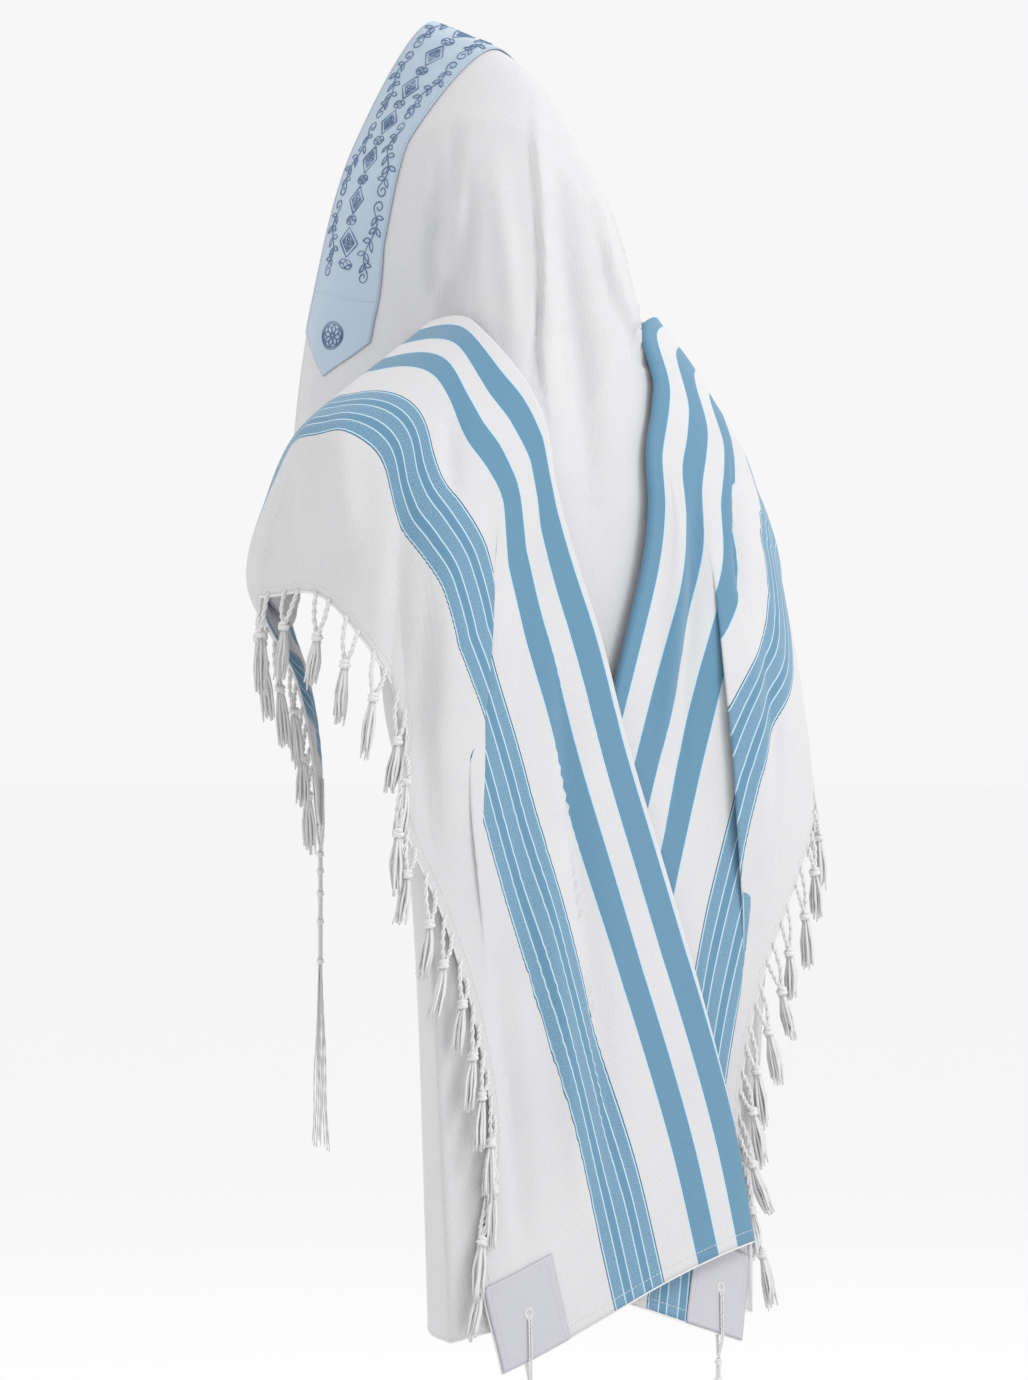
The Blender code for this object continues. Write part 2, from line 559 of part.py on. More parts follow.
def corner_cord(grid, normals):
    """The knotted cord of a corner: over and under the hem from its eyelet, a wound column and eight strands."""
    row = place_at(grid[:, 0], HOLE_INSET)
    column = place_at(grid[0], HOLE_INSET)
    eyelet = sample(grid, row, column)
    across = [np.linalg.norm((sample(grid, 0, c) - eyelet)[:2]) for c in np.linspace(0, 12, 121)]
    foot = float(np.linspace(0, 12, 121)[int(np.argmin(across))])
    stations = [(row * (1 - s), column + (foot - column) * s) for s in (0.0, 0.5, 1.0)]
    down = np.array([0.0, 0.0, -1.0])
    normal = unit(sample(normals, 0, foot))
    normal = unit(normal - down * (normal @ down))
    side = np.cross(normal, down)
    vertices = []
    faces = []
    thin = 0.0013
    for centre in (CORD_TOP_LAYER + thin, -(CORD_UNDER_LAYER + thin)):
        base = len(vertices)
        for place in stations:
            point = sample(grid, *place)
            up = unit(sample(normals, *place))
            for across, lift in ((-1, 1), (1, 1), (1, -1), (-1, -1)):
                vertices.append(point + side * across * CORD_HALF_WIDTH + up * (centre + lift * thin))
        faces.append((base, base + 1, base + 2, base + 3))
        for k in range(len(stations) - 1):
            a = base + 4 * k
            faces += [(a + m, a + (m + 1) % 4, a + 4 + (m + 1) % 4, a + 4 + m) for m in range(4)]
    clear = unit(sample(grid, 0, foot) - sample(grid, 1, foot)) * CORD_EDGE_CLEARANCE
    top = sample(grid, 0, foot) + clear + down * 0.012
    ring = len(vertices)
    for across, lift in ((-1, 1), (1, 1), (1, 0), (1, -1), (-1, -1), (-1, 0)):
        vertices.append(top + side * across * CORD_HALF_WIDTH + normal * lift * 0.003)
    front = 4 * (len(stations) - 1)
    back = front + 4 * len(stations)
    for (a, b, c, d), (e, f, g, h) in (
        ((front, front + 1, front + 2, front + 3), (ring, ring + 1, ring + 2, ring + 5)),
        ((back, back + 1, back + 2, back + 3), (ring + 5, ring + 2, ring + 3, ring + 4)),
    ):
        faces += [(a, b, f, e), (b, c, g, f), (c, d, h, g), (d, a, e, h)]
    outline = [(i, 2) for i in range(5)] + [(4, 1)] + [(i, 0) for i in range(4, -1, -1)] + [(0, 1)]
    inside = [(1, 1), (2, 1), (3, 1)]
    places = outline + inside

    def cross_point(centre, place, radius):
        a = (place[0] - 2) / 2
        b = place[1] - 1
        return centre + radius * (side * a * math.sqrt(1 - b * b / 2) + normal * b * math.sqrt(1 - a * a / 2))

    profile = ((0.0, 1.3), (0.10, 0.9), (0.45, 1.0), (0.52, 1.3), (0.59, 1.0), (0.93, 0.9), (1.0, 1.3))
    start = len(vertices)
    for k, (share, radius) in enumerate(profile):
        centre = top + down * (0.006 + share * CORD_COLUMN_LENGTH)
        vertices += [cross_point(centre, place, radius * CORD_COLUMN_RADIUS) for place in outline]
    chains = [range(start, start + 5), (start + 4, start + 5), (start + 5, start + 6)]
    chains += [range(start + 6, start + 11), (start + 10, start + 11), (start + 11, start)]
    faces += fan(range(ring, ring + 6), [list(chain) for chain in chains])
    for k in range(len(profile) - 1):
        a = start + 12 * k
        faces += [(a + m, a + (m + 1) % 12, a + 12 + (m + 1) % 12, a + 12 + m) for m in range(12)]
    last = start + 12 * (len(profile) - 1)
    end = top + down * (0.006 + CORD_COLUMN_LENGTH)
    vertices += [cross_point(end, place, profile[-1][1] * CORD_COLUMN_RADIUS) for place in inside]
    index = {place: last + k for k, place in enumerate(places)}
    for i in range(4):
        for j in range(2):
            root = [index[p] for p in ((i, j), (i + 1, j), (i + 1, j + 1), (i, j + 1))]
            away = side * (i - 1.5) / 1.5 + normal * (j - 0.5)
            ring = root
            for share in (0.35, 1.0):
                centre = end + down * share * CORD_STRAND_LENGTH + away * CORD_STRAND_SPREAD * (0.35 + 0.65 * share)
                base = len(vertices)
                for a, b in ((-1, -1), (1, -1), (1, 1), (-1, 1)):
                    vertices.append(centre + (side * a + normal * b) * CORD_STRAND_RADIUS)
                below = list(range(base, base + 4))
                faces += [(ring[m], ring[(m + 1) % 4], below[(m + 1) % 4], below[m]) for m in range(4)]
                ring = below
            faces.append(tuple(ring))
    return np.array(vertices), faces


# Meshes

def grid_normals(grid):
    """The outward direction across the cloth at each point of a grid."""
    along = np.gradient(grid, axis=0)
    across = np.gradient(grid, axis=1)
    return unit(np.cross(across, along))


def wall(grid, normals, inner, outer):
    """Vertices and faces of a closed wall on a grid of points, between two offsets along the normals."""
    rows, columns = grid.shape[:2]
    vertices = np.concatenate([(grid + normals * outer).reshape(-1, 3), (grid + normals * inner).reshape(-1, 3)])
    under = rows * columns
    faces = []
    for r in range(rows - 1):
        for c in range(columns - 1):
            a = r * columns + c
            quad = (a, a + 1, a + columns + 1, a + columns)
            faces.append(quad)
            faces.append(tuple(under + v for v in reversed(quad)))
    rim = [c for c in range(columns)]
    rim += [r * columns + columns - 1 for r in range(1, rows)]
    rim += [(rows - 1) * columns + c for c in range(columns - 2, -1, -1)]
    rim += [r * columns for r in range(rows - 2, 0, -1)]
    for a, b in zip(rim, rim[1:] + rim[:1]):
        faces.append((b, a, under + a, under + b))
    return vertices, faces


def add_object(name, vertices, faces, material):
    """A named object with its faces pointing out."""
    mesh = bpy.data.meshes.new(name)
    mesh.from_pydata([tuple(v) for v in vertices], [], faces)
    shape = bmesh.new()
    shape.from_mesh(mesh)
    bmesh.ops.triangulate(shape, faces=shape.faces)
    bmesh.ops.recalc_face_normals(shape, faces=shape.faces)
    shape.to_mesh(mesh)
    shape.free()
    mesh.shade_smooth()
    mesh.materials.append(material)
    made = bpy.data.objects.new(name, mesh)
    bpy.context.scene.collection.objects.link(made)
    return made


def cloth_material(name, colour, roughness):
    material = bpy.data.materials.new(name)
    material.use_nodes = True
    shader = material.node_tree.nodes["Principled BSDF"]
    shader.inputs["Base Color"].default_value = (*colour, 1.0)
    shader.inputs["Roughness"].default_value = roughness
    shader.inputs["Metallic"].default_value = 0.0
    return material


def main():
    for old in list(bpy.data.objects):
        bpy.data.objects.remove(old)
    wool = cloth_material("white_wool", (0.86, 0.86, 0.87), 0.85)
    left = wing_layers(LEFT_WING, 1, LEFT_PLEATS)
    right = wing_layers(RIGHT_WING, -1, RIGHT_PLEATS)
    hood = pressed_in(hood_sheet(), (left, right))
    left = seamed(left, (hood[:, -1], hood[:, -2]))
    right = seamed(right, (hood[:, 0], hood[:, 1]))
    half = CLOTH_THICKNESS / 2
    for name, grid in (("hood_and_back", hood), ("left_wing", left), ("right_wing", right)):
        add_object(name, *wall(grid, grid_normals(grid), -half, half), wool)
    satin = cloth_material("pale_blue_satin", (0.60, 0.70, 0.84), 0.35)
    cotton = cloth_material("white_cord", (0.88, 0.88, 0.88), 0.8)
    add_object("neckband", *neckband(hood, grid_normals(hood)), satin)
    for side, grid in (("left", left), ("right", right)):
        normals = grid_normals(grid) * (1 if side == "left" else -1)
        add_object(f"fringe_{side}", *fringe(grid, normals), cotton)
        for end, order in (("back", -1), ("front", 1)):
            corner = grid[::order, ::-1]
            directions = normals[::order, ::-1]
            add_object(f"corner_patch_{side}_{end}", *corner_patch(corner, directions), satin)
            if end == "front":
                corner = corner.transpose(1, 0, 2)
                directions = directions.transpose(1, 0, 2)
            add_object(f"tzitzit_{side}_{end}", *corner_cord(corner, directions), cotton)


main()
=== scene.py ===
"""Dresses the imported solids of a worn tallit: striped wool cloth with its folds, a satin neckband with
woven ornament, corner patches with eyelets, knotted fringe and corner cords."""

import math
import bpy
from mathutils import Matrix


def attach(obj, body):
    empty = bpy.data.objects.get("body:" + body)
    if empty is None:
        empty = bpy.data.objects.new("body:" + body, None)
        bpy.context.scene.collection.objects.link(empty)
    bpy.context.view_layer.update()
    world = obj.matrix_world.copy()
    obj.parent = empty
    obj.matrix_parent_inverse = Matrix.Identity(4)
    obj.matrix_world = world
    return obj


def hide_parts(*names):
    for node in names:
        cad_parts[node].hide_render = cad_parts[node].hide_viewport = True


bl_info = {
    "name": "Worn tallit",
    "version": (1, 0, 0),
    "blender": (4, 5, 0),
    "location": "View3D > Sidebar > Tallit",
    "description": "Models the cloth, neckband, fringe and corner cords of a worn prayer shawl",
    "category": "Object",
}

from collections import namedtuple

import bpy
import numpy as np
from bpy.props import FloatProperty, FloatVectorProperty, IntProperty, PointerProperty
from mathutils import Matrix, Vector
from mathutils.bvhtree import BVHTree

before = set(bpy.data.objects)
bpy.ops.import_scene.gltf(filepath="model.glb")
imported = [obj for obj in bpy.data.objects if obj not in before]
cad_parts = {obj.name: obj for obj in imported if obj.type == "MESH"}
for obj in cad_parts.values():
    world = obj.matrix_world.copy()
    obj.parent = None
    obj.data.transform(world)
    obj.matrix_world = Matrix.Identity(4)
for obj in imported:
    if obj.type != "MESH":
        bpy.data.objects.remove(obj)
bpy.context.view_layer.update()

# Cloth
CLOTH_HEIGHT = 1.5
RIB_PITCH = 0.003
CLOTH_THICKNESS = 0.0016
SEAM_GAP = 0.0003
LAYER_STEP = 0.008
WING_OUTWARD = 0.012
WING_UNDER = -0.004         # the right wing's, where it lies under the left one
BEHIND_FROM = 20.0          # the angle behind the arm at which it starts to go under
BEHIND_OVER = 40.0
HOOD_CLEARANCE = 0.008
HOOD_DIP_SLOPE = 0.35
HOOD_DIP_FLAT = 0.02
HOOD_PROBE = 0.08           # how far to each side of the hood a wing is looked for
WINGS_BELOW = -0.2          # the level below which the wings can touch it
FOLD_ARC = 1.2              # half the angle, in radians, through which a wing's fold turns
TURN_BULGE = 0.010
PLEAT_EDGE = 0.30           # the last share of a row, over which its pleat dies out
PLEAT_SIDE = 0.07           # and how far behind the arm it is whole
ROW_FALL = 1.25             # over 1, the rows leave the fold squarely and fall more steeply further on
TURN_LEAD = 0.006
PLEAT_WITHIN = ((0.08, 0.24), (0.76, 0.92))     # least and most shares of a row at a pleat's two sides
NECKBAND_WIDTH = 0.108
NECKBAND_HALF_LENGTH = 0.405
NECKBAND_POINT = 0.042
CORNER_PATCH_SIDE = 0.088
TASSEL_PITCH = 0.047
TASSEL_FROM_CORNER = 0.1055
TASSEL_SWING = 0.40
HOLE_INSET = 0.045

# Fringe and corner cords, as in the solids
LEG_LENGTH = 0.034
LEG_SPREAD = 0.010
KNOT_LENGTH = 0.012
LOCK_LENGTH = 0.056
COLUMN_LENGTH = 0.11
STRAND_LENGTH = 0.20
STRAND_SPREAD = 0.012
EDGE_CLEARANCE = 0.013

# Ornament of the neckband
FLOURISH_PITCH = 0.087
FLOURISH_LINES = (0.021, 0.087)     # from the face edge to the middle of each row
LOZENGE_PITCH = 0.044
END_PANEL = 0.085                   # from the band's tip to the seam before it

# Thread and satin: radii of tubes, and how far their middles stand off the cloth's middle surface
HEM_RADIUS = 0.00125
HEM_DEPTH = 0.011                   # from the hem to its stitches
SIDE_HEM_DEPTH = 0.009
HEM_STITCH = (0.0032, 0.0050, 0.0004)       # length, pitch and radius
SATIN_LIFT = 0.0024
SATIN_THICKNESS = 0.0010
SATIN_PUCKER = 0.00035
ORNAMENT_LIFT = 0.0029
ORNAMENT_RADIUS = 0.0009
BAND_STITCH = (0.0028, 0.0040, 0.00035)
PATCH_LIFT = 0.0021
PATCH_THICKNESS = 0.0009
PATCH_STITCH = (0.0026, 0.0042, 0.00035)
EYELET_RINGS = ((0.0052, 0.0010), (0.0037, 0.0008))     # radius of the ring, radius of its thread
LOCK_TAPER = np.array([1, 1.1, 1.1, 1, 1, 0.85, 0.55])
COLUMN_TURNS = 46
KNOTS_AT = (0.0, 0.16, 0.37, 0.63, 1.0)     # along the wound column
# How far each cord of the loop through the eyelet stands off the cloth, and to which side it leans
LOOP_CORDS = ((0.0040, -1), (0.0042, 1), (-0.0030, -1), (-0.0032, 1))

# Grid counts
BAND_ROWS = 20
LOWER_ROWS = 190
HALF_COLUMNS = 100
UNDER_COLUMNS = 40
OVER_COLUMNS = (34, 70, 40)
LINE_POINTS = 260
PATCH_POINTS = 25
BAND_GRID = (23, 241)
SHARE_PASSES = 60

DOWN = np.array([0.0, 0.0, -1.0])
CORNERS = (("left", "back"), ("left", "front"), ("right", "back"), ("right", "front"))

Form = namedtuple("Form", "z middle left right chest back front back_squareness front_squareness")
Bow = namedtuple("Bow", "ridge temple neck foot")
WingRow = namedtuple("WingRow", "height fold_angle fold_z edge_angle edge_z turn_angle turn_z")
Pleat = namedtuple("Pleat", "x_top x_full x_bottom z_start z_full z_fade z_end height reach width spread")
Crease = namedtuple("Crease", "depth sharp soft points")
Stripe = namedtuple("Stripe", "start end kind")
Cut = namedtuple("Cut", "width area")
Drape = namedtuple("Drape", "hood left right")


def metres(*values):
    """Millimetres as metres."""
    return [value / 1000 for value in values]


# The draped form, as in the solids: level rings with half-widths and depths from the body's own axis, in
# millimetres, and their squareness
FORM = [Form(*metres(*row[:7]), *row[7:]) for row in (
    (-270, 45, 50, 140, 50, 97, 30, 2.5, 1.3),
    (-300, 45, 79, 165, 79, 111, 50, 2.5, 1.3),
    (-340, 55, 143, 196, 143, 115, 100, 2.6, 1.3),
    (-380, 65, 210, 222, 210, 113, 160, 2.7, 1.3),
    (-420, 72, 268, 251, 268, 112, 215, 2.8, 1.3),
    (-480, 50, 277, 277, 277, 142, 235, 3.2, 1.4),
    (-560, 20, 276, 300, 274, 180, 220, 3.8, 1.5),
    (-660, 0, 290, 321, 190, 207, 195, 4.3, 1.5),
    (-800, 0, 298, 332, 150, 215, 190, 4.5, 1.5),
    (-1000, 0, 298, 280, 150, 225, 190, 4.5, 1.5),
    (-1200, 0, 292, 250, 150, 233, 190, 4.5, 1.5),
    (-1380, 0, 286, 244, 150, 238, 190, 4.5, 1.5),
)]
# Half bows of the hood and back from the ridge to the foot, in millimetres
BOWS = [Bow(*(metres(*point) for point in row)) for row in (
    ((0, -68, 28), (78, -100, -102), (91, -156, -265), (100, -200, -580)),
    ((0, -18, 10), (88, -45, -102), (106, -88, -262), (135, -150, -570)),
    ((0, 36, -10), (92, 10, -105), (112, -30, -262), (172, -100, -540)),
    ((0, 86, -48), (90, 58, -118), (112, 35, -262), (200, -50, -500)),
    ((0, 121, -135), (82, 100, -160), (113, 82, -275), (206, 20, -480)),
    ((0, 148, -235), (85, 135, -250), (130, 112, -305), (202, 75, -480)),
    ((0, 163, -360), (88, 160, -362), (152, 140, -385), (198, 105, -520)),
    ((0, 180, -540), (90, 178, -540), (158, 165, -545), (194, 128, -600)),
    ((0, 193, -760), (90, 191, -760), (160, 180, -764), (190, 143, -790)),
    ((0, 204, -1000), (90, 202, -1000), (160, 192, -1003), (188, 155, -1020)),
    ((0, 213, -1275), (90, 212, -1277), (160, 203, -1281), (188, 166, -1295)),
)]
# Each row of a wing: its height in metres, then the angle in degrees and the level in metres of its fold,
# of its fringed edge and of its turn at the arm
LEFT_WING = [WingRow(*row) for row in (
    (0, 126, -1.236, 55.5, -1.345, 46, -1.312),
    (0.12, 120.5, -1.11, 51, -1.23, 45, -1.19),
    (0.24, 113.5, -0.99, 53.7, -1.12, 44, -1.08),
    (0.37, 104, -0.86, 51, -1.01, 43, -0.96),
    (0.51, 93, -0.73, 45, -0.9, 41, -0.83),
    (0.65, 83, -0.6, 37.5, -0.79, 37, -0.7),
    (0.79, 66.5, -0.47, 38, -0.69, 29, -0.59),
    (0.91, 52, -0.365, 27, -0.61, 22, -0.52),
    (1, 31, -0.306, 17, -0.575, 13, -0.5),
    (1.09, -6, -0.309, 6, -0.575, 4, -0.49),
    (1.18, -32, -0.352, -6, -0.585, -8, -0.51),
    (1.28, -46, -0.41, -22, -0.645, -22, -0.54),
    (1.39, -53, -0.48, -38, -0.765, -36, -0.57),
    (1.5, -60, -0.56, -62, -0.84, -51, -0.6),
)]
RIGHT_WING = [WingRow(*row) for row in (
    (0, 123, -1.252, 54, -1.338, 46, -1.312),
    (0.12, 119, -1.12, 50.5, -1.225, 45, -1.19),
    (0.24, 112, -0.99, 53, -1.11, 44, -1.08),
    (0.37, 103, -0.86, 49, -1.01, 43, -0.96),
    (0.51, 91.5, -0.73, 40, -0.9, 41, -0.83),
    (0.65, 77, -0.6, 28, -0.79, 37, -0.7),
    (0.79, 58.5, -0.47, 16, -0.7, 29, -0.59),
    (0.91, 46, -0.365, 6, -0.65, 22, -0.52),
    (1, 40, -0.3, 0, -0.62, 13, -0.5),
    (1.09, 8, -0.297, -6, -0.61, 4, -0.49),
    (1.18, -20, -0.31, -14, -0.61, -8, -0.51),
    (1.28, -37, -0.35, -24, -0.65, -22, -0.54),
    (1.39, -48, -0.445, -39, -0.765, -35, -0.57),
    (1.5, -58, -0.55, -62, -0.84, -50, -0.6),
)]
LEFT_PLEAT = Pleat(0.105, 0.168, 0.176, -0.39, -0.70, -0.95, -1.14, 0.024, 0.040, 0.045, 0.085)
RIGHT_PLEAT = Pleat(0.135, 0.164, 0.175, -0.42, -0.74, -0.94, -1.12, 0.024, 0.046, 0.046, 0.085)

# The view from behind the left shoulder, in which the creases' places are given: across to the right and up
VIEW_AZIMUTH = 140.0
VIEW_MARGIN = 0.25          # creases fade out where the cloth turns from the view
CREASE_DEPTH = 2.2          # all creases' depths are taken times this

# Creases, each as (across, level) points in millimetres as seen from behind the left shoulder. A trough
# has a negative depth. Sharp and soft are its half-widths to the left and right of its own direction.
HOOD_CREASES = (
    Crease(0.0042, 0.0030, 0.016, ((59, -73), (63, -139), (69, -218), (69, -284), (67, -318), (73, -380))),
    Crease(
        -0.0050, 0.0200, 0.014, ((78, -86), (88, -159), (96, -240), (108, -330), (114, -400), (118, -480))
    ),
    Crease(0.0040, 0.0040, 0.018, ((98, -112), (125, -180), (145, -264), (161, -301), (183, -366))),
    Crease(
        -0.0050, 0.0040, 0.014,
        ((-34, -118), (-38, -125), (-42, -165), (-47, -205), (-48, -240), (-41, -273)),
    ),
    Crease(0.0040, 0.0050, 0.007, ((-41, -227), (-31, -240), (-33, -260), (-41, -275))),
    Crease(-0.0040, 0.0100, 0.008, ((-6, -140), (-5, -190), (-15, -261), (-20, -300))),
    Crease(-0.0030, 0.0080, 0.006, ((-19, -94), (-21, -125), (-23, -180))),
    Crease(-0.0035, 0.0050, 0.012, ((66, -265), (65, -305), (54, -356))),
    Crease(0.0030, 0.0120, 0.012, ((20, -120), (30, -200), (38, -270), (40, -330))),
)
LEFT_CREASES = (
    Crease(-0.0050, 0.0100, 0.020, ((-68, -478), (-74, -560), (-76, -660), (-74, -740))),
    Crease(-0.0040, 0.0120, 0.016, ((-43, -532), (-46, -620), (-47, -720), (-40, -820))),
    Crease(-0.0040, 0.0080, 0.016, ((86, -630), (95, -760), (112, -900), (128, -1040), (140, -1160))),
    Crease(0.0040, 0.0120, 0.018, ((60, -820), (78, -960), (96, -1090), (110, -1200))),
    Crease(-0.0030, 0.0100, 0.012, ((-21, -398), (-22, -436), (-18, -480))),
    Crease(0.0030, 0.0120, 0.014, ((-130, -400), (-128, -470), (-120, -540))),
    Crease(-0.0030, 0.0110, 0.012, ((-190, -440), (-185, -500), (-172, -560))),
    Crease(-0.0035, 0.0100, 0.014, ((20, -900), (30, -1010), (42, -1130), (50, -1230))),
)
RIGHT_CREASES = (
    Crease(-0.0040, 0.0040, 0.012, ((270, -411), (272, -480), (272, -540), (280, -600))),
    Crease(-0.0045, 0.0120, 0.016, ((300, -560), (310, -660), (318, -760), (314, -850))),
    Crease(0.0035, 0.0100, 0.012, ((206, -450), (208, -540), (200, -640), (190, -720))),
    Crease(-0.0035, 0.0100, 0.012, ((225, -480), (226, -560), (214, -680), (200, -800))),
)

# The creases are mirrored onto the sides that the view doesn't show, and moved a little, across and up
FAR_SIDE, FAR_SHIFT = (-1, 1, 1), (0.009, 0.022)
FRONT, FRONT_SHIFT = (1, -1, 1), (-0.060, 0.030)

# Stripes, by the steps at which each group starts and the steps that each stripe is wide. A ramp is looked
# up in 256 entries, and each step is one of them.
STRIPE_FROM = 0.18          # from the fringed edge
STRIPE_STEP = 0.0016
RAMP_STEPS = 255
WIDE_SIDE = (("dark", 1), ("pale", 1), ("speckled", 8), ("pale", 1), ("blue", 6), ("pale", 1))
WIDE = (*WIDE_SIDE, ("speckled", 9), *reversed(WIDE_SIDE))
NARROW = (("pale", 1), ("blue", 19), ("pale", 1))


def stripe_row():
    """Every stripe, with its start and end in steps."""
    stripes = []
    for at, group in ((6, WIDE), (81, NARROW), (119, NARROW), (157, NARROW)):
        for kind, width in group:
            stripes.append(Stripe(at, at + width, kind))
            at += width
    return stripes


STRIPES = stripe_row()
FIRST_STRIPE = STRIPE_FROM + STRIPES[0].start * STRIPE_STEP
# Heights, and how far the wing's fold is from the fringed edge there
LEFT_FOLD_AT = ((0.0, 0.399), (0.30, 0.407), (0.79, 0.408), (0.93, 0.420), (1.5, 0.420))
RIGHT_FOLD_AT = ((0.0, 0.446), (1.5, 0.446))


# Lines and grids

def blend_step(x):
    """0 below 0, 1 above 1, and smooth between."""
    x = np.clip(x, 0.0, 1.0)
    return x * x * (3.0 - 2.0 * x)


def through(stations, values, at):
    """Values at the places `at`, on a smooth curve through the values at the stations."""
    stations = np.asarray(stations, float)
    values = np.asarray(values, float).reshape(len(stations), -1)
    steps = np.diff(stations)[:, None]
    rises = np.diff(values, axis=0) / steps
    slopes = np.empty_like(values)
    slopes[0] = rises[0]
    slopes[-1] = rises[-1]
    slopes[1:-1] = (rises[:-1] * steps[1:] + rises[1:] * steps[:-1]) / (steps[1:] + steps[:-1])
    at = np.clip(np.asarray(at, float), stations[0], stations[-1])
    k = np.clip(np.searchsorted(stations, at, side="right") - 1, 0, len(steps) - 1)
    h = steps[k]
    t = ((at - stations[k])[:, None]) / h
    start = (1 + 2 * t) * (1 - t) ** 2 * values[k] + t * (1 - t) ** 2 * h * slopes[k]
    end = t * t * (3 - 2 * t) * values[k + 1] + t * t * (t - 1) * h * slopes[k + 1]
    return start + end


def run_along(line):
    """The distance along a line to each of its points."""
    return np.concatenate([[0.0], np.cumsum(np.linalg.norm(np.diff(line, axis=0), axis=1))])


def resampled(line, count):
    """The same line with evenly spaced points."""
    run = run_along(line)
    return through(run, line, np.linspace(0.0, run[-1], count))


def unit(v):
    return v / np.linalg.norm(v, axis=-1, keepdims=True)


def smoothed(values, passes):
    """Rows of values, each drawn towards its neighbours."""
    for _ in range(passes):
        padded = np.concatenate([values[:1], values, values[-1:]])
        values = (padded[:-2] + 2 * padded[1:-1] + padded[2:]) / 4
    return values


def grid_normals(grid):
    """The direction across the cloth at each point of a grid."""
    return unit(np.cross(np.gradient(grid, axis=1), np.gradient(grid, axis=0)))


def sample(grid, rows, columns):
    """Points of a grid, or of its normals, between its rows and columns."""
    rows = np.clip(np.asarray(rows, float), 0, grid.shape[0] - 1)
    columns = np.clip(np.asarray(columns, float), 0, grid.shape[1] - 1)
    r = np.minimum(rows.astype(int), grid.shape[0] - 2)
    c = np.minimum(columns.astype(int), grid.shape[1] - 2)
    a = (rows - r)[..., None]
    b = (columns - c)[..., None]
    near = grid[r, c] * (1 - b) + grid[r, c + 1] * b
    far = grid[r + 1, c] * (1 - b) + grid[r + 1, c + 1] * b
    return near * (1 - a) + far * a


# The draped form

FORM_DROPS = np.array([-ring.z for ring in FORM])
LEFT_SLOPES = np.diff([ring.left for ring in FORM]) / np.diff(FORM_DROPS)
RIGHT_SLOPES = np.diff([ring.right for ring in FORM]) / np.diff(FORM_DROPS)
MERIDIAN = run_along(np.array([(ring.left, ring.z) for ring in FORM]))


def form_normals(angles, levels):
    """The form's outward directions, which tip upward on the shoulders."""
    turn = np.radians(angles)
    slopes = [np.interp(-levels, FORM_DROPS[1:], side) for side in (LEFT_SLOPES, RIGHT_SLOPES)]
    tilt = np.arctan(np.maximum(np.where(np.cos(turn) > 0, *slopes), 0.0))
    return np.stack([np.cos(tilt) * np.cos(turn), np.cos(tilt) * np.sin(turn), np.sin(tilt)], axis=-1)


def form_points(angles, levels):
    """Points of the draped form at angles round the body."""
    ring = through(FORM_DROPS, [r[1:] for r in FORM], -levels.ravel()).T.reshape(8, *levels.shape)
    middle, left, right, chest, back, front, back_power, front_power = ring
    c = np.cos(np.radians(angles))
    s = np.sin(np.radians(angles))
    side = np.where(c > 0, left, right) * np.where(s < 0, chest / left, 1.0)
    depth = np.where(s > 0, back, front)
    power = np.where(s > 0, back_power, front_power)
    radius = (np.abs(c / side) ** power + np.abs(s / depth) ** power) ** (-1 / power)
    return np.stack([radius * c, middle + radius * s, levels], axis=-1)


# Wings

def row_heights():
    """Heights of the rows above the hem, from the face edge down."""
    band = np.linspace(0.0, NECKBAND_WIDTH, BAND_ROWS + 1)
    lower = np.linspace(NECKBAND_WIDTH, CLOTH_HEIGHT, LOWER_ROWS + 1)
    return CLOTH_HEIGHT - np.concatenate([band, lower[1:]])


def pleat_lip(pleat, levels):
    """Where a pleat's overhanging lip stands at each level."""
    return np.interp(
        -levels, (-pleat.z_start, -pleat.z_full, -pleat.z_end), (pleat.x_top, pleat.x_full, pleat.x_bottom)
    )


def pleated(points, normals, side, outward, pleat, shares):
    """Points of the form moved outward, and shifted and lifted by the pleat, which dies out at the edge."""
    x, y, z = np.moveaxis(points, -1, 0)
    rise = blend_step((pleat.z_start - z) / (pleat.z_start - pleat.z_full))
    fade = 1.0 - blend_step((pleat.z_fade - z) / (pleat.z_fade - pleat.z_end))
    amount = rise * fade * blend_step(y / PLEAT_SIDE) * blend_step((1.0 - shares) / PLEAT_EDGE)
    beyond = side * x - pleat_lip(pleat, z)
    turn = np.clip(beyond / pleat.width, -1.0, 1.0)
    shift = amount * pleat.reach * np.sin(np.pi * turn) * np.cos(np.pi * turn / 2) ** 2
    fall = 1.0 - blend_step((beyond - pleat.width) / pleat.spread)
    lift = amount * pleat.height * blend_step((turn + 1) / 2) * fall
    moved = np.stack([x - side * shift, y, z], axis=-1)
    return moved + normals * (outward + lift)[..., None]


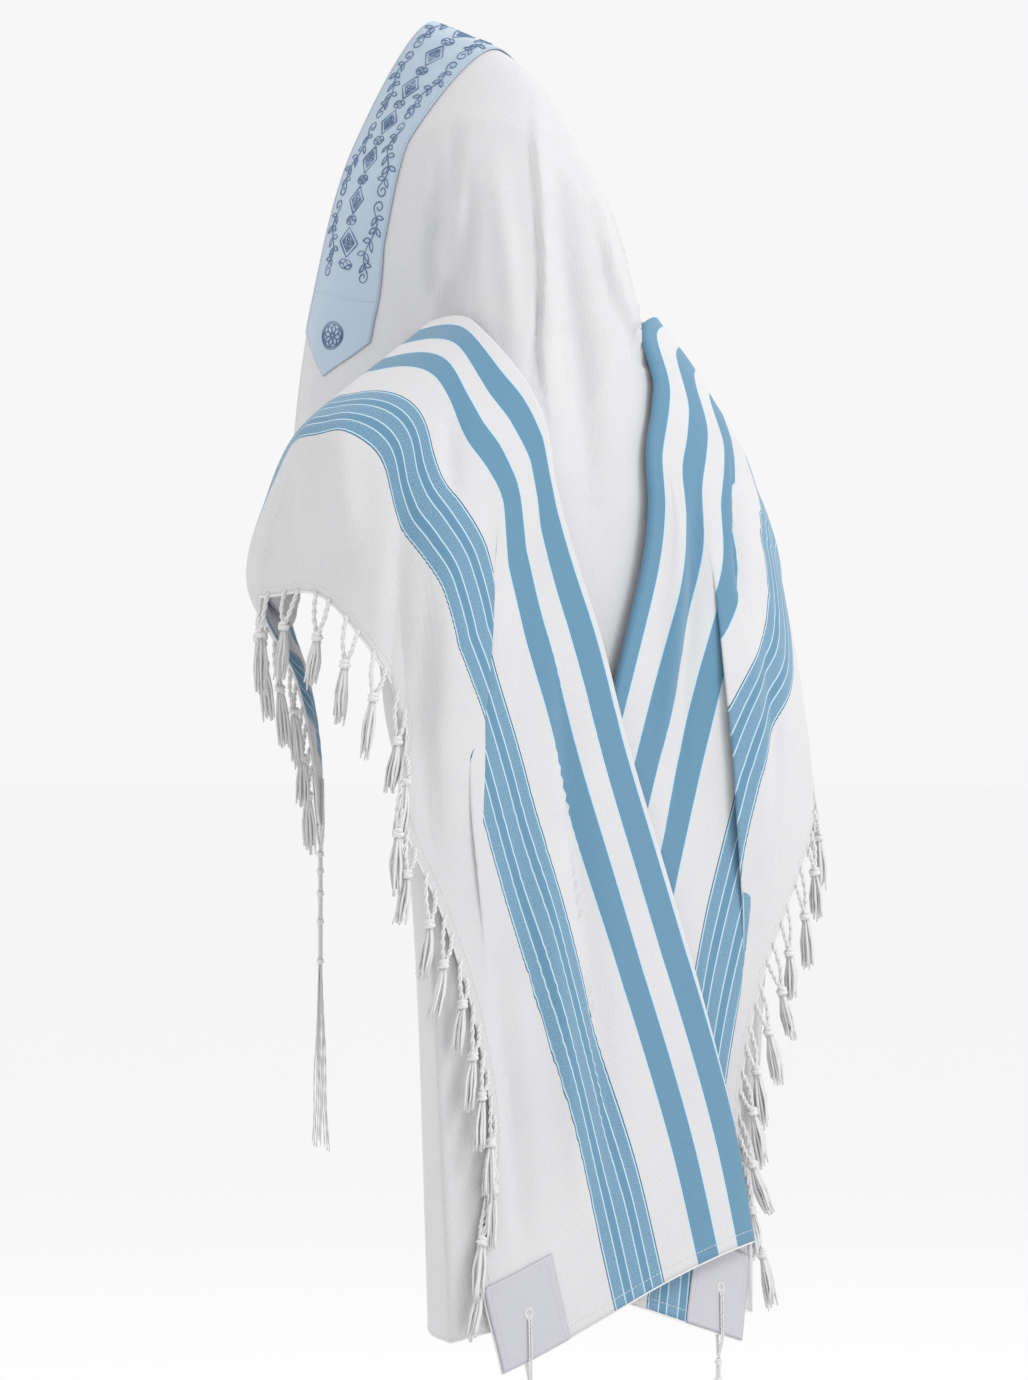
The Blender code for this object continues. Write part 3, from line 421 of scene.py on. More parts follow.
def wing_lines(table, end_angles, end_levels, side, layer, pleat):
    """Closely spaced lines over the form, one for each row, from the wing's fold to another place."""
    _, fold_angles, fold_levels = table[:, :3].T
    shares = np.linspace(0.0, 1.0, LINE_POINTS)
    start_run = np.interp(-fold_levels, FORM_DROPS, MERIDIAN)[:, None]
    end_run = np.interp(-end_levels, FORM_DROPS, MERIDIAN)[:, None]
    levels = -np.interp(start_run + (end_run - start_run) * shares**ROW_FALL, MERIDIAN, FORM_DROPS)
    angles = fold_angles[:, None] + (end_angles - fold_angles)[:, None] * shares
    behind = blend_step((angles - BEHIND_FROM) / BEHIND_OVER) if side < 0 else np.zeros_like(angles)
    outward = WING_OUTWARD + (WING_UNDER - WING_OUTWARD) * behind + layer * LAYER_STEP / 2
    if side < 0:
        angles = 180.0 - angles
    points, normals = form_points(angles, levels), form_normals(angles, levels)
    if pleat is None:
        return points, points + normals * outward[..., None]
    return points, pleated(points, normals, side, outward, pleat, shares)


def split_line(line, shares):
    """The line with OVER_COLUMNS points before, in and after a stretch, given by shares of its length."""
    run = run_along(line)
    marks = [0.0, *shares, 1.0]
    places = [np.linspace(a, b, n + 1)[:-1] for a, b, n in zip(marks, marks[1:], OVER_COLUMNS)]
    return through(run, line, np.concatenate(places + [[1.0]]) * run[-1])


def wing_layers(table, side, pleat):
    """A wing without its seam: rows from the front end to the hem, columns from its turn to the fringe."""
    table = through([row.height for row in table], table, row_heights())
    edge_angles, edge_levels, turn_angles, turn_levels = table[:, 3:].T
    flat, overs = wing_lines(table, edge_angles, edge_levels, side, 1, pleat)
    _, unders = wing_lines(table, turn_angles, turn_levels, side, -1, None)
    shares = []
    for points, line in zip(flat, overs):
        run = run_along(line)
        marks = []
        for edge in (-1.0, 1.0):
            end = pleat_lip(pleat, points[:, 2]) + edge * pleat.width
            inner = (side * points[:, 0] < end) & (points[:, 1] > 0)
            marks.append(run[max(int(inner.sum()) - 1, 0)] / run[-1])
        shares.append(marks)
    shares = smoothed(np.clip(shares, *PLEAT_WITHIN), SHARE_PASSES)
    rows = []
    for under, over, places in zip(unders, overs, shares):
        under = resampled(under, UNDER_COLUMNS)
        over = split_line(over, places)
        middle = (under[0] + over[0]) / 2
        half = (over[0] - under[0]) / 2
        away = unit(over[0] - over[3]) * np.linalg.norm(half)
        arc = np.linspace(-FOLD_ARC, FOLD_ARC, 5)
        turn = [middle + half * math.sin(a) + away * math.cos(a) for a in arc]
        rows.append(np.concatenate([under[::-1], turn, over]))
    return np.array(rows)


def seamed(wing, foot, before):
    """The wing with its seam: from the hood's foot round the soft fold at the arm to the under layer."""
    onward = unit(foot - before)
    away = unit(wing[:, 0] - wing[:, 4])
    start = foot + onward * SEAM_GAP
    lead = start + onward * TURN_LEAD
    bend = (lead + wing[:, 0]) / 2 + away * TURN_BULGE
    places = np.stack([start, lead, bend, wing[:, 0]], axis=1)
    rounded = [through([0.0, 0.2, 0.6, 1.0], row, np.linspace(0, 1, 13)) for row in places]
    return np.concatenate([np.array(rounded)[:, :-1], wing], axis=1)


# Hood and back

def bow_line(bow, count):
    """Half a bow, from the ridge to the left foot, with evenly spaced points."""
    points = np.array([bow.temple, *bow])
    points[0, 0] *= -1
    run = run_along(points)
    return resampled(through(run, points, np.linspace(run[1], run[-1], 4 * count)), count)


def hood_sheet():
    """The hood and back before the wings press on it: columns from the right foot to the left."""
    bows = np.array([bow_line(bow, HALF_COLUMNS) for bow in BOWS])
    below = (CLOTH_HEIGHT - row_heights()[BAND_ROWS:] - NECKBAND_WIDTH) / (CLOTH_HEIGHT - NECKBAND_WIDTH)
    band = np.linspace(0, NECKBAND_WIDTH, BAND_ROWS + 1)[:-1]
    columns = []
    for k in range(HALF_COLUMNS):
        run = run_along(bows[:, k])
        places = np.concatenate([band, NECKBAND_WIDTH + (run[-1] - NECKBAND_WIDTH) * below])
        columns.append(through(run, bows[:, k], places))
    left = np.array(columns).transpose(1, 0, 2)
    right = left[:, :0:-1] * np.array([-1.0, 1.0, 1.0])
    return np.concatenate([right, left], axis=1)


def grid_tree(grid):
    """A search tree of a grid's faces."""
    rows, columns = grid.shape[:2]
    starts = [r * columns + c for r in range(rows - 1) for c in range(columns - 1)]
    quads = [(a, a + 1, a + columns + 1, a + columns) for a in starts]
    return BVHTree.FromPolygons(grid.reshape(-1, 3).tolist(), quads)


def pressed_in(sheet, wings):
    """The hood's sheet, moved inward where it would touch a wing, with a soft dip round each such place."""
    trees = [grid_tree(wing[::4, ::4]) for wing in wings]
    points = sheet.reshape(-1, 3)
    angles = np.degrees(np.arctan2(points[:, 1], points[:, 0]))
    outward = form_normals(angles, np.minimum(points[:, 2], FORM[0].z))
    reach = HOOD_PROBE
    rows, columns = sheet.shape[:2]
    moves = np.zeros(len(points))
    coarse = np.zeros((rows, columns), bool)
    coarse[::3, ::3] = True
    coarse[-1, ::3] = True
    coarse = coarse.ravel() & (points[:, 2] < WINGS_BELOW)
    for k in np.nonzero(coarse)[0]:
        gap = reach
        for tree in trees:
            hit = tree.ray_cast(Vector(points[k] - outward[k] * reach), Vector(outward[k]), reach * 2)
            if hit[0] is not None:
                gap = min(gap, hit[3] - reach)
        moves[k] = max(0.0, HOOD_CLEARANCE - gap)
    spread = np.zeros(len(points))
    for k in np.nonzero(moves)[0]:
        away = np.linalg.norm(points - points[k], axis=1)
        spread = np.maximum(spread, moves[k] - HOOD_DIP_SLOPE * np.maximum(away - HOOD_DIP_FLAT, 0))
    return (points - outward * spread[:, None]).reshape(sheet.shape)


# Creases

VIEW_TURN = math.radians(VIEW_AZIMUTH)
VIEW_ACROSS = np.array([math.cos(VIEW_TURN), math.sin(VIEW_TURN), 0.0])
VIEW_BACK = np.array([math.sin(VIEW_TURN), -math.cos(VIEW_TURN), 0.0])      # towards the eye


def creased(grid, creases, outside, mirror=(1, 1, 1), shift=(0, 0)):
    """The grid pushed in along troughs and out along ridges, where it faces the view. Mirrored creases are
    put only where it doesn't."""
    normals = grid_normals(grid) * outside
    facing = blend_step((normals * mirror @ VIEW_BACK) / VIEW_MARGIN)
    if mirror != (1, 1, 1):
        facing *= 1 - blend_step((normals @ VIEW_BACK) / VIEW_MARGIN)
    seen = np.stack([grid * mirror @ VIEW_ACROSS, grid[..., 2]], axis=-1) + shift
    lift = np.zeros(grid.shape[:2])
    for crease in creases:
        corners = np.array(crease.points) / 1000
        line = through(run_along(corners), corners, np.linspace(0, run_along(corners)[-1], 40))
        low = line.min(axis=0) - 3 * max(crease.sharp, crease.soft)
        high = line.max(axis=0) + 3 * max(crease.sharp, crease.soft)
        near = np.nonzero(np.all((seen > low) & (seen < high), axis=-1))
        apart = seen[near][:, None] - line[None]
        distance = np.linalg.norm(apart, axis=-1)
        closest = distance.argmin(axis=1)
        step = np.gradient(line, axis=0)[closest]
        offset = apart[np.arange(len(closest)), closest]
        sided = step[:, 0] * offset[:, 1] - step[:, 1] * offset[:, 0]
        width = np.where(sided > 0, crease.soft, crease.sharp)
        share = closest / (len(line) - 1)
        taper = np.sin(np.pi * np.clip(share, 0.02, 0.98)) ** 0.6
        depth = crease.depth * CREASE_DEPTH
        lift[near] += depth * taper * np.exp(-((distance.min(axis=1) / width) ** 2))
    return grid + normals * (lift * facing)[..., None]


# Meshes

def deselect():
    for chosen in bpy.context.selected_objects:
        chosen.select_set(False)


def cloth_grid(name, grid, across, along, material, thickness):
    """A sheet of cloth: a grid primitive with its points set on the drape and its UV in metres of cloth,
    thickened to a closed wall."""
    deselect()
    rows, columns = grid.shape[:2]
    bpy.ops.mesh.primitive_grid_add(x_subdivisions=columns - 1, y_subdivisions=rows - 1, size=1)
    made = bpy.context.active_object
    made.name = name
    mesh = made.data
    mesh.vertices.foreach_set("co", grid.reshape(-1, 3).ravel())
    layer = mesh.uv_layers.active or mesh.uv_layers.new(name="UVMap")
    places = np.zeros(len(mesh.loops), int)
    mesh.loops.foreach_get("vertex_index", places)
    uv = np.stack([across.ravel()[places], along.ravel()[places]], axis=1)
    layer.data.foreach_set("uv", uv.ravel())
    mesh.materials.clear()
    mesh.materials.append(material)
    mesh.shade_smooth()
    mesh.update()
    modifier = made.modifiers.new("thickness", "SOLIDIFY")
    modifier.thickness = thickness
    modifier.offset = 0.0
    modifier.use_even_offset = False
    bpy.context.view_layer.objects.active = made
    bpy.ops.object.modifier_apply(modifier=modifier.name)
    return made


def across_of(step, normal):
    """The normal made square to a line's step, and the direction square to both."""
    normal = unit(normal - step * (normal @ step))
    return normal, np.cross(step, normal)


class Threads:
    """Vertices and faces of the cords, seams and stitches that make up one piece."""

    def __init__(self):
        self.vertices = []
        self.faces = []

    def tube(self, line, radii, sides):
        """Adds a closed tube along a line, with one radius or a radius at each point."""
        line = np.asarray(line)
        steps = unit(np.gradient(line, axis=0))
        normal = np.array([0.0, 0.0, 1.0])
        if abs(normal @ steps[0]) > 0.95:
            normal = np.array([1.0, 0.3, 0.0])
        base = len(self.vertices)
        turns = np.linspace(0, 2 * np.pi, sides, endpoint=False)
        for point, step, radius in zip(line, steps, np.broadcast_to(radii, len(line))):
            normal, side = across_of(step, normal)
            self.vertices += [point + (normal * math.cos(t) + side * math.sin(t)) * radius for t in turns]
        for start in range(base, base + (len(line) - 1) * sides, sides):
            for m in range(sides):
                a, b = start + m, start + (m + 1) % sides
                self.faces.append((a, b, b + sides, a + sides))
        self.faces.append(tuple(base + m for m in range(sides - 1, -1, -1)))
        last = base + (len(line) - 1) * sides
        self.faces.append(tuple(last + m for m in range(sides)))

    def cord(self, line, radius, wire, turns, chance, sides):
        """Two strands wound round a line."""
        for strand in twisted(line, radius, turns, 2, chance.uniform(0, 6)):
            self.tube(strand, wire, sides)

    def knot(self, centre, along, side, front, radius, wire, turns, length):
        """A lump of wound cord."""
        t = np.linspace(0.0, 2 * np.pi * turns, int(11 * turns) + 1)
        swell = radius * (0.72 + 0.28 * np.sin(np.pi * t / t[-1]))
        coil = centre + np.outer(swell * np.cos(t), side) + np.outer(swell * np.sin(t), front)
        self.tube(coil + np.outer((t / t[-1] - 0.5) * length, along), wire, 5)

    def stitches(self, line, length, pitch, wire):
        """Short straight runs along a line."""
        run = run_along(line)
        for s in np.arange(pitch / 2, run[-1] - length, pitch):
            ends = [s, s + length / 2, s + length]
            self.tube(np.stack([np.interp(ends, run, values) for values in line.T], axis=1), wire, 4)

    def made(self, name, material):
        """The piece as an object, shaded smooth."""
        mesh = bpy.data.meshes.new(name)
        mesh.from_pydata(np.asarray(self.vertices).tolist(), [], self.faces)
        mesh.materials.append(material)
        mesh.shade_smooth()
        mesh.update()
        made = bpy.data.objects.new(name, mesh)
        bpy.context.scene.collection.objects.link(made)
        return made


def twisted(line, radius, turns, strands, phase):
    """Lines of the strands of a cord, wound round the cord's own line."""
    line = np.asarray(line)
    normal = np.array([0.31, 0.95, 0.05])
    lines = [[] for _ in range(strands)]
    for k, (point, step) in enumerate(zip(line, unit(np.gradient(line, axis=0)))):
        normal, side = across_of(step, normal)
        for strand in range(strands):
            t = 2 * math.pi * (turns * k / (len(line) - 1) + strand / strands) + phase
            lines[strand].append(point + (normal * math.cos(t) + side * math.sin(t)) * radius)
    return lines


# Materials

class Shading:
    """A node material in the making."""

    def __init__(self, name, **looks):
        self.material = bpy.data.materials.new(name)
        self.material.use_nodes = True
        self.nodes = self.material.node_tree.nodes
        self.shader = self.nodes["Principled BSDF"]
        for socket, value in looks.items():
            self.put(self.shader.inputs[socket.replace("_", " ")], value)
        self.coordinates = self.nodes.new("ShaderNodeTexCoord").outputs
        split = self.nodes.new("ShaderNodeSeparateXYZ")
        self.put(split.inputs[0], self.coordinates["UV"])
        self.across, self.along = split.outputs["X"], split.outputs["Y"]

    def put(self, socket, value):
        """Links another node's socket, or sets a number or colour."""
        if isinstance(value, bpy.types.NodeSocket):
            self.material.node_tree.links.new(value, socket)
        elif isinstance(value, (int, float)):
            socket.default_value = value
        else:
            socket.default_value = (*value, 1.0)

    def math(self, operation, *values):
        node = self.nodes.new("ShaderNodeMath")
        node.operation = operation
        for socket, value in zip(node.inputs, values):
            self.put(socket, value)
        return node.outputs[0]

    def noise(self, vector, scale, detail, roughness):
        node = self.nodes.new("ShaderNodeTexNoise")
        names = ("Vector", "Scale", "Detail", "Roughness")
        for socket, value in zip(names, (vector, scale, detail, roughness)):
            self.put(node.inputs[socket], value)
        return node.outputs["Fac"]

    def threads(self, across, along, detail, roughness):
        """Noise over the cloth's own lengths, with this many waves a metre each way."""
        node = self.nodes.new("ShaderNodeCombineXYZ")
        self.put(node.inputs["X"], self.math("MULTIPLY", self.across, across))
        self.put(node.inputs["Y"], self.math("MULTIPLY", self.along, along))
        return self.noise(node.outputs[0], 1.0, detail, roughness)

    def mix(self, factor, a, b, blend="MIX"):
        node = self.nodes.new("ShaderNodeMix")
        node.data_type = "RGBA"
        node.blend_type = blend
        for socket, value in (("Factor", factor), ("A", a), ("B", b)):
            self.put(node.inputs[socket], value)
        return node.outputs["Result"]

    def steps(self, factor, stops):
        """A ramp with hard steps: (position, colour) pairs."""
        node = self.nodes.new("ShaderNodeValToRGB")
        ramp = node.color_ramp
        ramp.interpolation = "CONSTANT"
        for position, _ in stops[2:]:
            ramp.elements.new(position)
        for element, (position, colour) in zip(ramp.elements, stops):
            element.position = position
            element.color = (*colour, 1.0)
        self.put(node.inputs["Fac"], factor)
        return node.outputs["Color"]

    def done(self, colour, height, strength, distance):
        """The material, with its colour and its bump."""
        self.put(self.shader.inputs["Base Color"], colour)
        bump = self.nodes.new("ShaderNodeBump")
        for socket, value in (("Strength", strength), ("Distance", distance), ("Height", height)):
            self.put(bump.inputs[socket], value)
        self.put(self.shader.inputs["Normal"], bump.outputs["Normal"])
        return self.material


def striped(wool, fuzz, white):
    """The woven stripes over the white, at their distances from the fringed edge."""
    kinds = {"dark": colours().dark_line, "pale": colours().pale_line}
    ramp_length = STRIPE_STEP * RAMP_STEPS
    position = wool.math("MULTIPLY_ADD", wool.across, 1 / ramp_length, -STRIPE_FROM / ramp_length)
    shown, hidden = (1, 1, 1), (0, 0, 0)
    colour_stops, mask_stops, speckle_stops = [(0.0, shown)], [(0.0, hidden)], [(0.0, hidden)]
    for k, stripe in enumerate(STRIPES):
        start, end = ((step - 0.5) / RAMP_STEPS for step in (stripe.start, stripe.end))
        colour_stops.append((start, tuple(kinds.get(stripe.kind, colours().blue))))
        if k == 0 or STRIPES[k - 1].end < stripe.start:
            mask_stops.append((start, shown))
        if k == len(STRIPES) - 1 or STRIPES[k + 1].start > stripe.end:
            mask_stops.append((end, hidden))
        if stripe.kind == "speckled":
            speckle_stops += [(start, shown), (end, hidden)]
    grain = wool.math("GREATER_THAN", wool.threads(900.0, 900.0, 1.0, 0.5), 0.52)
    amount = wool.math("MULTIPLY", grain, wool.steps(position, speckle_stops))
    colour = wool.mix(amount, wool.steps(position, colour_stops), tuple(colours().speckle))
    colour = wool.mix(1.0, colour, wool.math("MULTIPLY_ADD", fuzz, 0.35, 0.82), "MULTIPLY")
    return wool.mix(wool.steps(position, mask_stops), white, colour)


def wool_material(name, with_stripes):
    """Ribbed white wool."""
    wool = Shading(name, Roughness=0.86, Specular_IOR_Level=0.25, Sheen_Weight=0.25, Sheen_Roughness=0.5)
    cloudy = wool.noise(wool.coordinates["Object"], 9.0, 4.0, 0.6)
    fuzz = wool.threads(2600.0, 420.0, 2.0, 0.6)
    colour = wool.mix(cloudy, tuple(colours().wool_shade), tuple(colours().wool))
    if with_stripes:
        colour = striped(wool, fuzz, colour)
    rib = wool.math("SINE", wool.math("MULTIPLY", wool.across, 2 * math.pi / RIB_PITCH))
    return wool.done(colour, wool.math("MULTIPLY_ADD", rib, 0.5, fuzz), 0.35, 0.0006)


def satin_material(name, colour, shade):
    """Pale satin with its fine woven lines."""
    satin = Shading(name, Roughness=0.42, Sheen_Weight=0.4, Sheen_Roughness=0.35)
    weave = satin.threads(500.0, 2600.0, 2.0, 0.5)
    cloudy = satin.noise(satin.coordinates["Object"], 14.0, 3.0, 0.6)
    mixed = satin.math("MULTIPLY_ADD", weave, 0.5, satin.math("MULTIPLY", cloudy, 0.5))
    return satin.done(satin.mix(mixed, tuple(shade), tuple(colour)), weave, 0.25, 0.0003)


def thread_material(name, colour, shade, scale, roughness=0.7):
    """Spun thread: fibres of two close shades with a fine bump."""
    thread = Shading(name, Roughness=roughness, Sheen_Weight=0.3)
    fibres = thread.noise(thread.coordinates["Object"], scale, 3.0, 0.6)
    return thread.done(thread.mix(fibres, tuple(shade), tuple(colour)), fibres, 0.4, 0.0004)


# The draped sheets, worked out once and read by every operator

def draped():
    """The middle surfaces of the three stretches of cloth."""
    left = wing_layers(LEFT_WING, 1, LEFT_PLEAT)
    right = wing_layers(RIGHT_WING, -1, RIGHT_PLEAT)
    hood = pressed_in(hood_sheet(), (left, right))
    left = seamed(left, hood[:, -1], hood[:, -2])
    right = seamed(right, hood[:, 0], hood[:, 1])
    hood = creased(creased(hood, HOOD_CREASES, 1), HOOD_CREASES, 1, FAR_SIDE, FAR_SHIFT)
    left = creased(creased(left, LEFT_CREASES, 1), LEFT_CREASES, 1, FRONT, FRONT_SHIFT)
    right = creased(creased(right, RIGHT_CREASES, -1), LEFT_CREASES, -1, FAR_SIDE, FAR_SHIFT)
    return Drape(hood, left, right)


DRAPE = draped()


HOOD_NORMALS = grid_normals(DRAPE.hood)


def hood_across():
    """Distances from the middle of the back, along the rows."""
    runs = np.array([run_along(line) for line in DRAPE.hood])
    return runs - runs[:, [runs.shape[1] // 2]]


def wing_across(grid, fold_at):
    """Distances from the fringed edge. The stripes keep their true widths, measured from the fold, and the
    plain cloth beyond them takes up what each row's line is short of."""
    over_start = grid.shape[1] - sum(OVER_COLUMNS) - 1
    folds = np.interp(row_heights(), *np.array(fold_at).T)
    across = np.zeros(grid.shape[:2])
    for r, (line, fold) in enumerate(zip(grid, folds)):
        run = run_along(line) - run_along(line)[over_start]
        marks = (0.0, min(fold - FIRST_STRIPE, 0.92 * run[-1]), run[-1])
        across[r] = np.interp(run, marks, (fold, FIRST_STRIPE, 0.0))
        across[r, :over_start] = fold - run[:over_start]
    return across


# Places on the cloth

def place_at(line, distances):
    """Fractional indices at distances along a line."""
    return np.interp(distances, run_along(line), range(len(line)))


def on_cloth(grid, normals, rows, columns, lift):
    """Points over a grid's cloth, at a distance from its middle."""
    return sample(grid, rows, columns) + unit(sample(normals, rows, columns)) * np.asarray(lift)[..., None]


def band_points(across, up, lift):
    """Points over the hood, at distances from the neckband's middle and from the face edge."""
    edge = DRAPE.hood[0]
    columns = place_at(edge, run_along(edge)[-1] / 2 + np.asarray(across))
    rows = np.asarray(up) / NECKBAND_WIDTH * BAND_ROWS
    return on_cloth(DRAPE.hood, HOOD_NORMALS, rows, columns, lift)


def band_reach(up):
    """How far the neckband reaches to each side of its middle, with its pointed ends."""
    return NECKBAND_HALF_LENGTH - NECKBAND_POINT * np.abs(2 * up / NECKBAND_WIDTH - 1)


def wing_of(side):
    """A wing's grid and its outward directions."""
    if side == "left":
        return DRAPE.left, grid_normals(DRAPE.left)
    return DRAPE.right, -grid_normals(DRAPE.right)


def corner_of(side, end):
    """A wing's grid and directions counted from one of its corners, rows along the hem or face edge."""
    grid, normals = wing_of(side)
    order = -1 if end == "back" else 1
    return grid[::order, ::-1], normals[::order, ::-1]


# Ornament, as lines in metres about each motif's own middle

def leaf(at, heading, length, width=0.42):
    """The outline of a pointed leaf."""
    share = np.linspace(0.0, 1.0, 7)
    out = np.stack([share * length, np.sin(np.pi * share) * length * width / 2], axis=1)
    shape = np.concatenate([out, (out * (1, -1))[-2::-1]])
    c, s = math.cos(heading), math.sin(heading)
    return np.asarray(at) + shape @ np.array([[c, s], [-s, c]])


def curl(at, heading, radius, sweep):
    """A spiral that leaves a point in a heading and winds to its own left, or right for a negative sweep."""
    share = np.linspace(0.0, 1.0, 18)
    hand = 1 if sweep > 0 else -1
    middle = np.asarray(at) + hand * radius * np.array([-math.sin(heading), math.cos(heading)])
    turn = heading - hand * math.pi / 2 + math.radians(sweep) * share
    radii = radius * (1 - 0.72 * share)
    return middle + np.stack([radii * np.cos(turn), radii * np.sin(turn)], axis=1)


def flourish(hand):
    """A wavy stem with curled ends and pairs of leaves."""
    x = np.linspace(-0.031, 0.031, 22)
    lines = [np.stack([x, hand * 0.0075 * np.sin(np.pi * x / 0.031)], axis=1)]
    slope = math.atan(0.0075 * np.pi / 0.031)
    lines.append(curl(lines[0][-1], -hand * slope, 0.0070, hand * 400))
    lines.append(curl(lines[0][0], math.pi - hand * slope, 0.0070, hand * 400))
    for k, place in enumerate((3, 7, 11, 15, 19)):
        at = lines[0][place - 1]
        along = math.atan2(*(lines[0][place] - lines[0][place - 2])[::-1])
        for turn in (0.9, -0.9):
            lines.append(leaf(at, along + turn * (1 if k < 3 else 1.1), 0.0118 - 0.0007 * abs(k - 2)))
    return lines


def lozenge(_):
    """A double lozenge with a leaf at each side."""
    corners = np.array([(-0.015, 0), (0, 0.0145), (0.015, 0), (0, -0.0145), (-0.015, 0)])
    lines = [corners, corners * 0.62]
    lines += [leaf((0, 0), math.radians(a), 0.0066, 0.5) for a in (0, 90, 180, 270)]
    lines += [leaf((0.0175, 0), math.radians(a), 0.0110) for a in (62, -62)]
    lines += [leaf((0.0265, 0), math.radians(a), 0.0110) for a in (118, -118)]
    return lines


def rosette():
    """A round flower of eight petals in a double ring."""
    turns = np.linspace(0, 2 * np.pi, 33)
    ring = np.stack([np.cos(turns), np.sin(turns)], axis=1)
    petals = [leaf((0.0022 * math.cos(a), 0.0022 * math.sin(a)), a, 0.0098, 0.55)
              for a in np.linspace(0, 2 * math.pi, 8, endpoint=False)]
    return [ring * 0.0148, ring * 0.0128, ring * 0.0022, *petals]


def band_lines():
    """Every line of the neckband's ornament, as (across, up) on the band."""
    lines = []
    reach = NECKBAND_HALF_LENGTH - END_PANEL - 0.006
    for up, hand in zip(FLOURISH_LINES, (1, -1)):
        count = int((reach - 0.042) / FLOURISH_PITCH)
        for k in range(-count, count + 1):
            lines += [line + (k * FLOURISH_PITCH, up) for line in flourish(hand if k % 2 else -hand)]
    count = int((reach - 0.028) / LOZENGE_PITCH)
    for k in range(-count, count + 1):
        lines += [line + (k * LOZENGE_PITCH, NECKBAND_WIDTH / 2) for line in lozenge(k)]
    for side in (-1, 1):
        place = side * (NECKBAND_HALF_LENGTH - 0.044)
        lines += [line + (place, NECKBAND_WIDTH / 2) for line in rosette()]
    return lines


def spaced(line, step):
    """The same line with points no further apart than the step."""
    run = run_along(line)
    places = np.union1d(run, np.arange(0.0, run[-1], step))
    return np.stack([np.interp(places, run, values) for values in np.asarray(line).T], axis=1)


# Cords and locks

def hanging(out, tangent, normal, swing):
    """The direction in which a tassel hangs, and its sideways and outward directions."""
    hang = unit(DOWN + swing * out)
    side = unit(tangent - hang * (tangent @ hang))
    front = np.cross(hang, side)
    return hang, side, front if front @ normal > 0 else -front


def add_tassel(cords, roots, frame_of, chance):
    """Two twisted cords, the knot that joins them, and the loose lock below it."""
    hang, side, front = frame_of
    wire = sizes().fringe_cord
    length = LEG_LENGTH * chance.uniform(0.85, 1.12)
    centre = sum(roots) / 2 + hang * (length + KNOT_LENGTH / 2) + front * 0.004
    centre = centre + side * chance.uniform(-0.003, 0.003)
    for k, root in enumerate(roots):
        bow = (root + centre) / 2 + side * (k - 0.5) * 0.005 + front * 0.0015
        leg = through([0.0, 0.5, 1.0], [root, bow, centre], np.linspace(0.0, 1.0, 12))
        cords.cord(leg, wire * 0.62, wire * 0.72, 2.6, chance, 4)
    cross = unit(side + 0.6 * hang)
    cords.knot(centre, hang, side, front, 0.0038, 0.0026, 1.9, 0.0080)
    cords.knot(centre, np.cross(front, cross), cross, front, 0.0040, 0.0024, 1.1, 0.002)
    strands = sizes().lock_strands
    lock = LOCK_LENGTH * chance.uniform(0.86, 1.08)
    lean = side * chance.uniform(-0.006, 0.006)
    share = np.linspace(0.0, 1.0, 7)[:, None]
    for k in range(strands):
        turn = 2.4 * k + chance.uniform(-0.3, 0.3)
        reach = 0.0066 * math.sqrt((k + 0.6) / strands)
        away = side * math.cos(turn) + front * math.sin(turn)
        own = lock * chance.uniform(0.80, 1.0)
        wave = np.sin(share * chance.uniform(4, 8) + turn) * 0.0012 * share
        line = centre + hang * (0.003 + own * share) + away * reach * np.minimum(0.35 + 1.3 * share, 1.0)
        cords.tube(line + side * wave + lean * share**2, wire * 0.80 * LOCK_TAPER, 3)


def add_column(cords, start, end_of, across, normal):
    """The wound column of a corner cord, with its five knots."""
    cords.tube(np.linspace(start, end_of, 12), 0.0019, 6)
    turns = np.linspace(0.0, 2 * np.pi * COLUMN_TURNS, COLUMN_TURNS * 8)
    coil = start + np.outer(turns / turns[-1], end_of - start)
    wound = np.outer(np.cos(turns), across) + np.outer(np.sin(turns), normal)
    cords.tube(coil + 0.0022 * wound, 0.00085, 4)
    for place in KNOTS_AT:
        centre = start + (end_of - start) * place
        cords.knot(centre, DOWN, across, normal, 0.0030, 0.0014, 2.4, 0.0055)
        cords.knot(centre, across, DOWN, normal, 0.0028, 0.0013, 1.2, 0.003)


def add_strands(cords, end_of, across, normal, chance):
    """The eight loose strands below a wound column."""
    share = np.linspace(0.0, 1.0, 22)[:, None]
    for k in range(8):
        away = across * (k % 4 - 1.5) / 1.5 + normal * (k // 4 - 0.5)
        wave = np.sin(share * chance.uniform(7, 12) + k) * 0.0030 * share
        length = STRAND_LENGTH * chance.uniform(0.93, 1.0)
        line = end_of + DOWN * length * share + away * STRAND_SPREAD * (0.12 + 0.75 * share) + across * wave
        cords.cord(line, 0.0004, 0.0005, 16.0, chance, 3)


# Properties

def colour(name, description, *values):
    return FloatVectorProperty(name=name, description=description, subtype="COLOR", default=values)


